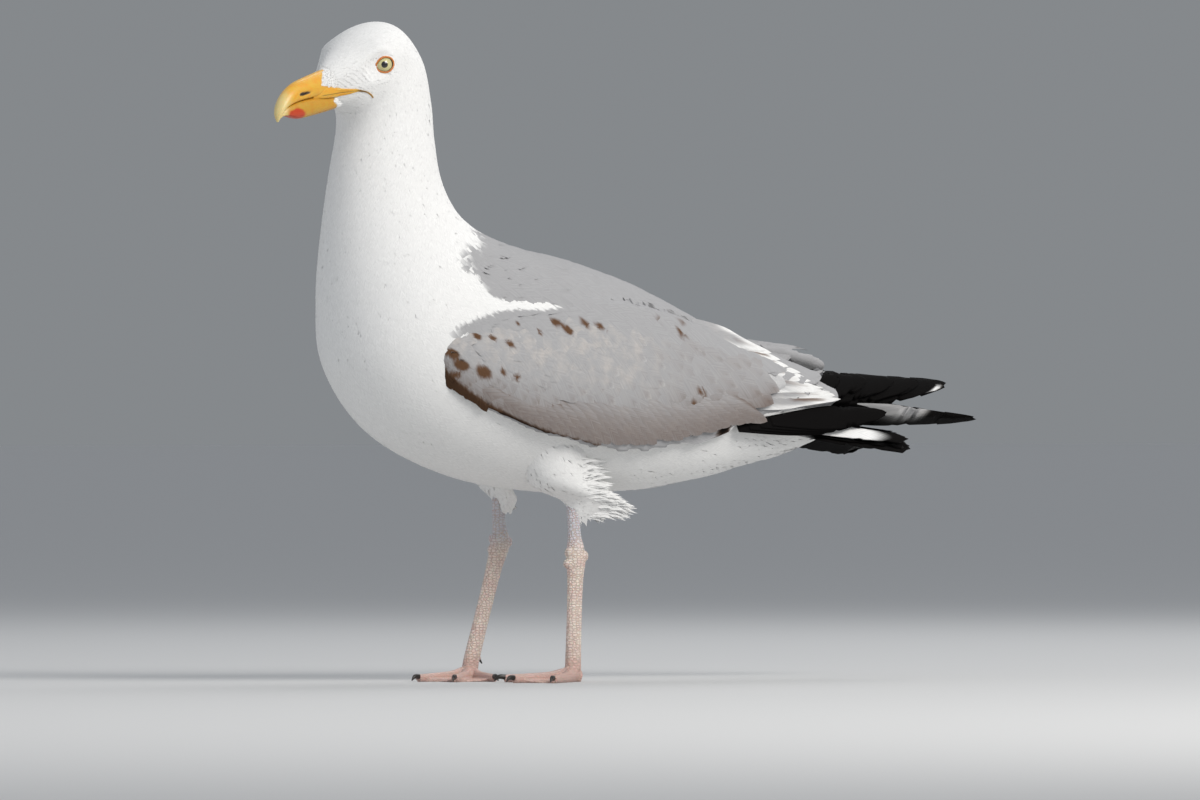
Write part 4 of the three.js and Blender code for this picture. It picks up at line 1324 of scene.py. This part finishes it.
# ---- Thighs ----
class GULL_OT_thighs(Operator):
    """Loose white feathers of the thighs"""

    bl_idname = "gull.thighs"
    bl_label = "Thighs"

    def execute(self, context):
        kind = Kind(4, 4, tip=0.45, fray=0.12, root=0.4, camber=0.1, soft=0.85, shut=0.5, dip=0.25)
        for k, (name, side) in enumerate(SIDES):
            surface = thigh(name)
            u, v = spread(surface, (0.02, 0.98), (0, 2 * np.pi), 7, SEED + 90 + k, (300, 160))
            reach = 17 if side > 0 else 8
            at = roots(u, v, SEED + 92 + k, reach * (0.75 + 0.25 * u), 5.6, -1.3, 0.2, -0.85 * np.sin(v), 0.16, 0.2)
            clump = np.sin(v * 5 + u * 9) * np.sin(v * 3 - u * 14)
            at["high"] = 0.4 + (0.8 + 0.9 * clump) * (side > 0) * smooth(-np.cos(v), -0.6, 0.8)
            place = lambda u, v, left=0.62 + 0.18 * k: np.stack(
                [left + 0.16 * ((v / (2 * np.pi)) % 1), 0.8 + 0.15 * np.clip(u, 0, 1)], -1)
            coat = feathers(f"coat_thigh_{name}", surface, kind, at, plumage(), white, place)
            finish(coat)
            self.fringe(name, side)
        return {"FINISHED"}

    def fringe(self, name, side):
        """Long loose feathers that trail back from the thigh."""
        kind = Kind(6, 4, tip=0.55, fray=0.1, root=0.5, camber=0.1, shut=0.3, wear=0.02, soft=0.9)
        rng = np.random.default_rng(SEED + 96 + side)
        surface = thigh(name)
        count, reach = (620, 18) if side > 0 else (60, 8)
        u = rng.uniform(0.05, 0.85, count)
        v = side * rng.uniform(0.45, 2.9, count)
        place, normal = surface.at(u, v)
        stack = []
        for i in range(count):
            drop = -0.42 + 0.5 * u[i] + rng.normal(0, 0.03)
            way = unit(np.array([side * rng.normal(0.02, 0.05), 1.0, drop]))
            length = reach * rng.uniform(0.45, 1.1)
            root = place[i] - normal[i] * 2.0
            facing = unit(normal[i] * 0.5 + np.array([side * 1.0, 0.1, 0.1]))
            stack.append((root, root + way * length, 4.4, facing, i, side))
        patch = lambda i: (0.6 + 0.01 * (i % 30), 0.96 + 0.012 * (side > 0))
        coat = quills(f"fringe_{name}", stack, kind, lambda along, across, i, side: np.zeros((len(along), 3)), patch)
        finish(coat)


# ---- Bill ----
def bill_face(upper, lower, halves, full_at):
    """Forward, up and across of a half of the bill: u from its base to its tip, v round from its top over the left.

    full_at is the side, top (1) or underside (-1), on which its section is nearly square: the cutting edge.
    """

    def place(u, v):
        line = lambda points, k: through([p[k] for p in points], u)
        share = ((1 + np.cos(v)) / 2) ** 1.2
        forward = line(lower, 0) + (line(upper, 0) - line(lower, 0)) * share
        up = line(lower, 1) + (line(upper, 1) - line(lower, 1)) * share
        square = np.where(np.cos(v) * full_at > 0, 0.5, 1.0)
        return forward, up, np.sign(np.sin(v)) * np.abs(np.sin(v)) ** square * through(halves, u)

    return place


LOWER_EDGE = tuple((f, z - 0.25) for f, z in CUTTING_EDGE)
UPPER_BILL = bill_face(CULMEN, CUTTING_EDGE, UPPER_HALF, -1)
LOWER_BILL = bill_face(LOWER_EDGE, GONYS, LOWER_HALF, 1)


def bill_rings(face, rows=110, around=64):
    return face(*grid(np.linspace(0, 1, rows), circle(around)))


def outward(mesh):
    """Turns every face of a closed mesh outwards."""
    bm = bmesh.new()
    bm.from_mesh(mesh)
    bmesh.ops.recalc_face_normals(bm, faces=bm.faces)
    bm.to_mesh(mesh)
    bm.free()
    mesh.shade_smooth()
    return mesh


FACE_TUFT = Kind(3, 4, tip=0.4, fray=0.08, root=0.5, camber=0.1, soft=0.9, shut=0.6, dip=0.35)


class GULL_OT_bill(Operator):
    """Both halves of the bill, the bare strip that runs back to the corner of the mouth, and the feathers there"""

    bl_idname = "gull.bill"
    bl_label = "Bill"

    def execute(self, context):
        # the lower half takes a copy of the horn darkened to 0.74: painted shade for its downward-facing side
        horn, shaded_low_horn = bill_material("bill_horn", look()), bill_material("bill_horn_low_shaded", look(), 0.74)
        forward, up, across = bill_rings(UPPER_BILL)
        tilt = (forward - 77) * -0.16
        slit = np.exp(-(((forward - 76.8) / 4.8) ** 4) - ((up - 344.4 - tilt) / (0.75 + 0.05 * (forward - 72))) ** 2)
        slit = slit * (np.abs(across) > 2)
        across = across * (1 - 0.25 * slit)
        pale = smooth(forward, 86, 95)
        marks = np.stack([0 * slit, 0.8 * pale, smooth(slit, 0.25, 0.6)], -1)
        down = smooth(level(FEATHER_LINE, up) - forward, 0.2, 1.0) * smooth(up - level(STRIP_TOP, forward), 0.1, 0.7)
        self.half("upper_bill", forward, up, across, marks, down, "bill_upper", horn)
        forward, up, across = bill_rings(LOWER_BILL)
        spot = np.exp(-(((forward - 82.5) / 7) ** 2) - ((up - 332.2) / 3.6) ** 2)
        pale = smooth(forward, 87, 93)
        marks = np.stack([1.3 * spot, 0.7 * pale, 0 * spot], -1)
        down = smooth(level(CHIN_LINE, up) - forward, 0.2, 1.0)
        self.half("lower_bill", forward, up, across, marks, down, "bill_lower", shaded_low_horn)
        face = bvh_of(*body_shell())
        for name, side in SIDES:
            self.strip(name, side, face, horn)
        self.feathers_on()
        return {"FINISHED"}

    def half(self, name, forward, up, across, marks, down, node, horn):
        points, faces = tube(in_head(forward, up, across))
        mesh = mesh_of(name, points, faces)
        put_marks(mesh, marks.reshape(-1, 3))
        mesh.attributes.new("down", "FLOAT", "POINT").data.foreach_set("value", down.astype(np.float32).ravel())
        piece = new_object(name, outward(mesh), horn)
        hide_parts(node)
        finish(piece)

    def strip(self, name, side, face, horn, rows=70, columns=17):
        """The horny edges of both halves, drawn back as a narrow wedge to the corner of the mouth."""
        f = np.linspace(29, 67, rows)[:, None]
        c = np.linspace(0, 1, columns)[None, :]
        top, cut, low = (level(line, f) for line in (STRIP_TOP, MOUTH_LINE, STRIP_LOW))
        z = np.where(c < 0.5, top + (cut - top) * c * 2, cut + (low - cut) * (c * 2 - 1))
        f = f + 0 * c
        hits = np.empty(f.shape)
        for i in np.ndindex(f.shape):
            hits[i] = reach_of(face, lambda a: in_head(f[i], z[i], side * a), 42, 0)
        least = level(STRIP_ACROSS, f) * (1 - 0.16 * np.clip(c * 2 - 1, 0, 1))
        hits = np.where(f > 39, np.maximum(hits, least), hits)
        for _ in range(4):
            hits[1:-1] = (hits[:-2] + 2 * hits[1:-1] + hits[2:]) / 4
        rim = smooth(np.minimum(c, 1 - c), 0, 0.12) * smooth(f, 67, 60)
        groove = np.exp(-(((c - 0.5) / 0.04) ** 2)) * smooth(f, 66, 58)
        out = hits - 0.5 + 0.9 * rim - 0.5 * groove - 1.2 * smooth(f, 56, 66)
        outer = in_head(f, z, side * out)
        inner = in_head(f, z, side * (hits - 2.2))
        points, faces = tube(np.concatenate([outer, inner[:, ::-1]], 1))
        dark = np.maximum(smooth(groove, 0.3, 0.8) * 0.8, smooth(f, 41.5, 38.5) * (0.4 + 0.35 * smooth(f, 31, 38)))
        marks = np.stack([0 * dark, 0 * dark, dark], -1)
        mesh = mesh_of(f"mouth_{name}", points, faces)
        put_marks(mesh, np.concatenate([marks, marks[:, ::-1]], 1).reshape(-1, 3))
        finish(new_object(f"mouth_{name}", outward(mesh), horn))

    def feathers_on(self):
        """The smallest feathers, on the side of the bill in front of the face."""
        for k, (name, face) in enumerate((("lores", UPPER_BILL), ("chin", LOWER_BILL))):
            surface = Surface(lambda u, v: in_head(*face(u, v)), 1, (0.002, 0.99))
            u, v = spread(surface, (0.0, 0.5), (-np.pi, np.pi), 0.8, SEED + 110 + k, (300, 300))
            forward, up, _ = face(u, v)
            if name == "lores":
                mask = (forward < level(FEATHER_LINE, up)) & (up > level(STRIP_TOP, forward) + 0.3)
            else:
                mask = (forward < level(CHIN_LINE, up)) & (up < level(STRIP_LOW, forward) - 0.2)
            at = roots(u, v, SEED + 112 + k, 2.8, 1.3, -0.4, 0.55, 0.0, 0.12)
            coat = feathers(f"coat_{name}", surface, FACE_TUFT, keep(at, mask), plumage(), white, unwrap_bill)
            finish(coat)


# ---- Eyes ----
LOOK_FORWARD = np.radians(40)  # how far the iris faces forward
OPENING, OPENING_LONG, OPENING_TILT = 4.8, 0.11, np.radians(-18)  # its radius, how oval and how tilted it is


def around_eye(side, facing, reach, roll, out):
    """A point reach away from the line on which the eye faces, rolled round it, and out along it."""
    fore, cross = np.sin(facing), np.cos(facing)
    forward = EYE_FORWARD + out * fore + reach * np.cos(roll) * cross
    across = EYE_ACROSS + out * cross - reach * np.cos(roll) * fore
    return in_head(forward, EYE_UP + reach * np.sin(roll), side * across)


def opening(roll):
    turn = roll - OPENING_TILT
    return OPENING * (1 + OPENING_LONG * np.cos(2 * turn) + 0.025 * np.cos(4 * turn))


def loop_tube(rings):
    """A tube closed on itself, through rings of shape (rings, around, 3)."""
    count, around = rings.shape[:2]
    index = np.arange(count * around).reshape(count, around)
    ahead, beside = np.roll(index, -1, 0), np.roll(index, -1, 1)
    faces = np.stack([index, beside, np.roll(beside, -1, 0), ahead], -1).reshape(-1, 4)
    return rings.reshape(-1, 3), [faces]


class GULL_OT_eyes(Operator):
    """Eyeballs, the bare rings round them and the soft lids"""

    bl_idname = "gull.eyes"
    bl_label = "Eyes"

    def execute(self, context):
        ring_skin = ring_material()
        head = bvh_of(*body_shell(0.0, 300, 160))
        for name, side in SIDES:
            self.ball(name, side)
            self.ring(name, side, ring_skin)
            self.lid(name, side, head)
        return {"FINISHED"}

    def ball(self, name, side, rows=48, around=72):
        off = np.linspace(0.0, np.pi, rows)[1:-1, None]
        roll = circle(around)[None, :]
        bulge = EYE_RADIUS + 0.3 * np.exp(-((off / 0.45) ** 4))
        points = around_eye(side, LOOK_FORWARD, bulge * np.sin(off) + 0 * roll, roll, bulge * np.cos(off))
        mesh = mesh_of(f"eyeball_{name}", *tube(points))
        out = np.where(off < np.pi / 2, np.sin(off), 1 + off)
        disc = np.stack(np.broadcast_arrays(roll / (2 * np.pi), out), -1)
        put_uv(mesh, "Disc", disc.reshape(-1, 2))
        piece = new_object(f"eyeball_{name}", outward(mesh), shared("eye", lambda: eye_material(look())))
        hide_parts(f"eye_{name}")
        finish(piece)

    def ring(self, name, side, skin):
        """A thin orange ring with a dark margin inside it."""
        roll, cut = circle(96)[:, None], circle(16)[None, :]
        knobs = 1 + 0.1 * np.sin(roll * 23) * np.sin(roll * 7 + 1)
        reach = opening(roll) + 0.7 * np.cos(cut) * knobs
        out = np.sqrt(EYE_RADIUS**2 - opening(roll) ** 2) + 0.42 + 0.55 * np.sin(cut) * knobs
        points, faces = loop_tube(around_eye(side, OPENING_FORWARD, reach, roll, out))
        mesh = mesh_of(f"eye_ring_{name}", points, faces)
        inner = smooth(-np.cos(cut), 0.25, 0.7) + 0 * roll
        put_marks(mesh, np.stack([inner, 0 * inner, 0 * inner], -1).reshape(-1, 3))
        finish(new_object(f"eye_ring_{name}", outward(mesh), skin))

    def lid(self, name, side, head, rows=15, around=84):
        """Soft folds from the ring out into the feathers of the head."""
        k = np.linspace(0, 1, rows)[:, None]
        roll = circle(around)[None, :]
        reach = opening(roll) + 0.3 + 5.2 * k
        roll = roll + 0 * k
        base = np.empty(reach.shape)
        for i in np.ndindex(reach.shape):
            base[i] = reach_of(head, lambda out: around_eye(side, OPENING_FORWARD, reach[i], roll[i], out), 16, 4)
        edge = np.sqrt(EYE_RADIUS**2 - opening(roll) ** 2) + 0.25
        near = smooth(k, 0.32, 0.0)
        fold = 0.5 * np.exp(-(((k - 0.2) / 0.1) ** 2)) + 0.35 * np.clip(np.sin(roll + 0.3), 0, 1) * smooth(k, 0.2, 0.4)
        out = base * (1 - near) + edge * near + fold * smooth(k, 0.35, 0.15) - 1.5 * smooth(k, 0.04, 0.42)
        outer = around_eye(side, OPENING_FORWARD, reach, roll, out)
        inner = around_eye(side, OPENING_FORWARD, reach, roll, out - 1.2)
        # a closed band: out over the folds, then back underneath
        points, faces = loop_tube(np.concatenate([outer, inner[::-1]], 0).transpose(1, 0, 2))
        mesh = mesh_of(f"lid_{name}", points, faces)
        put_marks(mesh, np.zeros((len(points), 3)))
        finish(new_object(f"lid_{name}", outward(mesh), shared("downy_skin", skin_material)))


# ---- Legs, feet and claws ----
def limb(points, rows=40, around=20):
    """A round limb through points (x, y, z, half width, half depth)."""
    p = np.asarray(points, float)
    t = np.linspace(0, 1, rows)
    centre = np.stack([through(p[:, k], t) for k in range(3)], -1)
    wide, deep = through(p[:, 3], t), through(p[:, 4], t)
    along = unit(np.gradient(centre, axis=0))
    guide = np.where(np.abs(along[:, 2:]) > 0.8, [[0, 1, 0]], [[0, 0, 1]])
    sideways = unit(np.cross(guide, along))
    other = np.cross(along, sideways)
    angle = circle(around)
    rings = (centre[:, None] + np.cos(angle)[None, :, None] * (sideways * wide[:, None])[:, None]
             + np.sin(angle)[None, :, None] * (other * deep[:, None])[:, None])
    rings[..., 1] -= MID_LENGTH
    return tube(rings)


def pointing(degrees):
    a = np.radians(degrees)
    return np.array([np.sin(a), -np.cos(a), 0])


class GULL_OT_legs(Operator):
    """Bare legs, webbed feet and claws"""

    bl_idname = "gull.legs"
    bl_label = "Legs"

    def execute(self, context):
        skin = leg_material()
        horn = plain_material("claw", (0.018, 0.014, 0.012, 1), 0.35)
        for name, side in SIDES:
            leg = LEGS[name]
            (cx, cy, cz), a, b = leg["cuff"], np.array(leg["ankle"], float), np.array(leg["ball"], float)
            c = np.array([cx, cy, cz - 1.9])
            shells = [limb([(*(c + [0, 0, 8]), 3.2, 4), (*c, 3.2, 4), (*((c + a) / 2), 3.4, 4.3), (*a, 4.8, 6.2),
                            (*(a + (b - a) * 0.2), 3.5, 5.2), (*(a + (b - a) * 0.55), 3.2, 4.9),
                            (*(a + (b - a) * 0.93), 3.9, 5), (*(b - [0, 0, 2]), 4.4, 5)], 70, 24)]
            # knuckles before and behind the ankle
            for fore, up, reach in ((-5.4, -3.5, 3.0), (4.2, 1.0, 4.0), (-3.6, 3.0, 3.8), (0.5, 6.0, 4.6)):
                x, y, z = a + [0, fore, up]
                shells.append(limb([(x, y, z + reach, 0.5, 0.5), (x, y, z + reach * 0.6, reach * 0.8, reach * 0.8),
                                    (x, y, z, reach, reach), (x, y, z - reach * 0.6, reach * 0.8, reach * 0.8),
                                    (x, y, z - reach, 0.5, 0.5)], 10, 12))
            toe_ways, claws = [], []
            for toe, (length, spread_by) in TOES.items():
                way = pointing(leg["heading"] - side * spread_by)
                rows = [(*(b[:2] + way[:2] * (-HEEL + (length + HEEL) * share)), up, half, deep)
                        for share, up, half, deep in TOE_SHAPE]
                shells.append(limb(rows, 40, 18))
                toe_ways.append((way, length * 0.93))
                at = lambda reach, up: (*(b[:2] + way[:2] * reach), up)
                claws.append(limb([(*at(length - 1.5, 2.9), 1.5, 1.6),
                                   (*at(length + CLAW_LENGTH * 0.55, 3.2), 1.1, 1.3),
                                   (*at(length + CLAW_LENGTH, 0.9), 0.3, 0.35)], 14, 12))
            for (way_a, reach_a), (way_b, reach_b) in zip(toe_ways[:-1], toe_ways[1:]):
                shells.append(self.web(b, way_a * reach_a, way_b * reach_b))
            back = pointing(leg["heading"] + 180 + side * 22)
            hind = lambda reach, up: (*(b[:2] + back[:2] * reach), up)
            shells.append(limb([(*hind(2, 17), 2, 2.2), (*hind(7, 14.8), 1.9, 2), (*hind(10.5, 12.5), 1.3, 1.4)],
                               12, 12))
            claws.append(limb([(*hind(9.8, 12.9), 1.1, 1.1), (*hind(13.5, 10), 0.35, 0.35)], 8, 10))
            mesh = remeshed(f"leg_{name}_skin", shells, 0.62, 2)
            p = vertices_mm(mesh)
            p[:, 2] = np.maximum(p[:, 2], 0)
            mesh.vertices.foreach_set("co", (p * MM).astype(np.float32).ravel())
            mesh.update()
            piece = new_object(f"leg_{name}_skin", mesh, skin)
            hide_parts(f"shank_{name}", f"foot_{name}", f"hind_toe_{name}")
            finish(piece)
            points, faces = joined(claws)
            points[:, 2] = np.maximum(points[:, 2], 0)
            mesh = mesh_of(f"claws_{name}", points, faces)
            piece = new_object(f"claws_{name}", outward(mesh), horn)
            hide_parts(*(f"claw_{name}_{toe}" for toe in ("inner", "middle", "outer", "hind")))
            finish(piece)
        return {"FINISHED"}

    def web(self, ball, a, b, rows=20, across=16):
        """A thin web between two toes, its free edge drawn back."""
        f = np.linspace(0, 1, across)[None, :]
        r = np.linspace(0.05, 1, rows)[:, None]
        edge = a[:2] * (1 - f[0, :, None]) ** 2 + b[:2] * f[0, :, None] ** 2
        middle = (a[:2] + b[:2]) / 2 * 0.76
        edge = edge + 2 * (f * (1 - f))[0, :, None] * middle
        flat = ball[:2] + r[..., None] * edge[None]
        top = 1.7 + 0.3 * np.cos(f * 40 * r) * (1 - r) + 0 * r
        upper = np.concatenate([flat, (top + 0 * f)[..., None]], -1)
        lower = np.concatenate([flat, np.full((rows, across, 1), 0.0)], -1)
        rings = np.concatenate([upper, lower[:, ::-1]], 1)
        rings[..., 1] -= MID_LENGTH
        return tube(rings[:, ::-1])


# ---- Stage ----
VIEW_WIDTH_M = 0.708  # width of the view at the bird
VIEW_AZIMUTH = np.radians(57)
AIM_SIDEWAYS, AIM_UP = 0.047, 0.166  # where the middle of the view meets the bird, metres
SENSOR = 36  # millimetres
FLOOR_HALF_M = 40


class GULL_OT_stage(Operator):
    """Pale floor and backdrop, soft lights and the camera"""

    bl_idname = "gull.stage"
    bl_label = "Stage"

    def execute(self, context):
        right = Vector((np.cos(VIEW_AZIMUTH), np.sin(VIEW_AZIMUTH), 0))
        toward = Vector((np.sin(VIEW_AZIMUTH), -np.cos(VIEW_AZIMUTH), 0))
        shift = Vector((0, -MID_LENGTH * MM, 0))
        aim = right * AIM_SIDEWAYS + shift + Vector((0, 0, AIM_UP))
        place = aim + toward * look().camera_distance
        place.z = look().camera_height
        lens = bpy.data.cameras.new("camera")
        lens.sensor_width = SENSOR
        lens.lens = SENSOR * look().camera_distance / VIEW_WIDTH_M
        lens.clip_start, lens.clip_end = 0.1, 60
        context.scene.view_settings.view_transform = "Standard"
        camera = bpy.data.objects.new("camera", lens)
        camera.location = place
        camera.rotation_euler = (aim - place).to_track_quat("-Z", "Y").to_euler()
        context.scene.collection.objects.link(camera)
        context.scene.camera = camera
        self.floor()
        self.light(context, "key", toward * 1.6 + right * 1.5 + Vector((0, 0, 1.75)), 1.4, 55, (1, 0.975, 0.94))
        self.light(context, "fill", toward * 1.7 - right * 2.0 + Vector((0, 0, 0.9)), 2.2, 9, (0.92, 0.96, 1))
        self.light(context, "rim", -toward * 1.6 + right * 0.6 + Vector((0, 0, 1.9)), 1.5, 16, (1, 1, 1))
        world = bpy.data.worlds.new("room")
        world.use_nodes = True
        nodes, graph = world.node_tree.nodes, Graph(world.node_tree)
        shown = nodes["Background"]
        graph.fill(shown, {"Color": (0.236, 0.249, 0.262, 1)})
        lighting = graph.add("ShaderNodeBackground", {"Color": (0.38, 0.40, 0.43, 1)})[0]
        seen = graph.add("ShaderNodeLightPath", {})["Is Camera Ray"]
        either = graph.add("ShaderNodeMixShader", {0: seen, 1: lighting, 2: shown.outputs[0]})[0]
        graph.fill(nodes["World Output"], {0: either})
        context.scene.world = world
        return {"FINISHED"}

    def floor(self):
        ends = (-FLOOR_HALF_M, FLOOR_HALF_M)
        mesh = mesh_of("floor", np.array([(x, y, 0) for y in ends for x in ends]) / MM, [grid_faces(2, 2)])
        new_object("floor", mesh, plain_material("floor", (0.58, 0.58, 0.575, 1), 0.9))

    def light(self, context, name, place, size, power, colour):
        lamp = bpy.data.lights.new(name, "AREA")
        lamp.size, lamp.energy, lamp.color = size, power, colour
        made = bpy.data.objects.new(name, lamp)
        made.location = place
        made.rotation_euler = (Vector((0, 0, 0.18)) - Vector(place)).to_track_quat("-Z", "Y").to_euler()
        context.scene.collection.objects.link(made)


class GULL_PT_panel(Panel):
    """The steps in order"""

    bl_idname = "GULL_PT_panel"
    bl_label = "Gull"
    bl_space_type = "VIEW_3D"
    bl_region_type = "UI"
    bl_category = "Gull"

    def draw(self, context):
        for step in STEPS:
            self.layout.operator(step.bl_idname)
        for name in Look.__annotations__:
            self.layout.prop(context.scene.gull_look, name)


STEPS = (GULL_OT_skin, GULL_OT_coat, GULL_OT_back, GULL_OT_wings, GULL_OT_tail, GULL_OT_thighs, GULL_OT_bill,
         GULL_OT_eyes, GULL_OT_legs, GULL_OT_stage)
CLASSES = (Look, *STEPS, GULL_PT_panel)


def register():
    for cls in CLASSES:
        bpy.utils.register_class(cls)
    bpy.types.Scene.gull_look = PointerProperty(type=Look)


def unregister():
    del bpy.types.Scene.gull_look
    for cls in reversed(CLASSES):
        bpy.utils.unregister_class(cls)


def main():
    register()
    for step in STEPS:
        getattr(bpy.ops.gull, step.bl_idname.split(".")[1])()


if __name__ == "__main__":
    main()
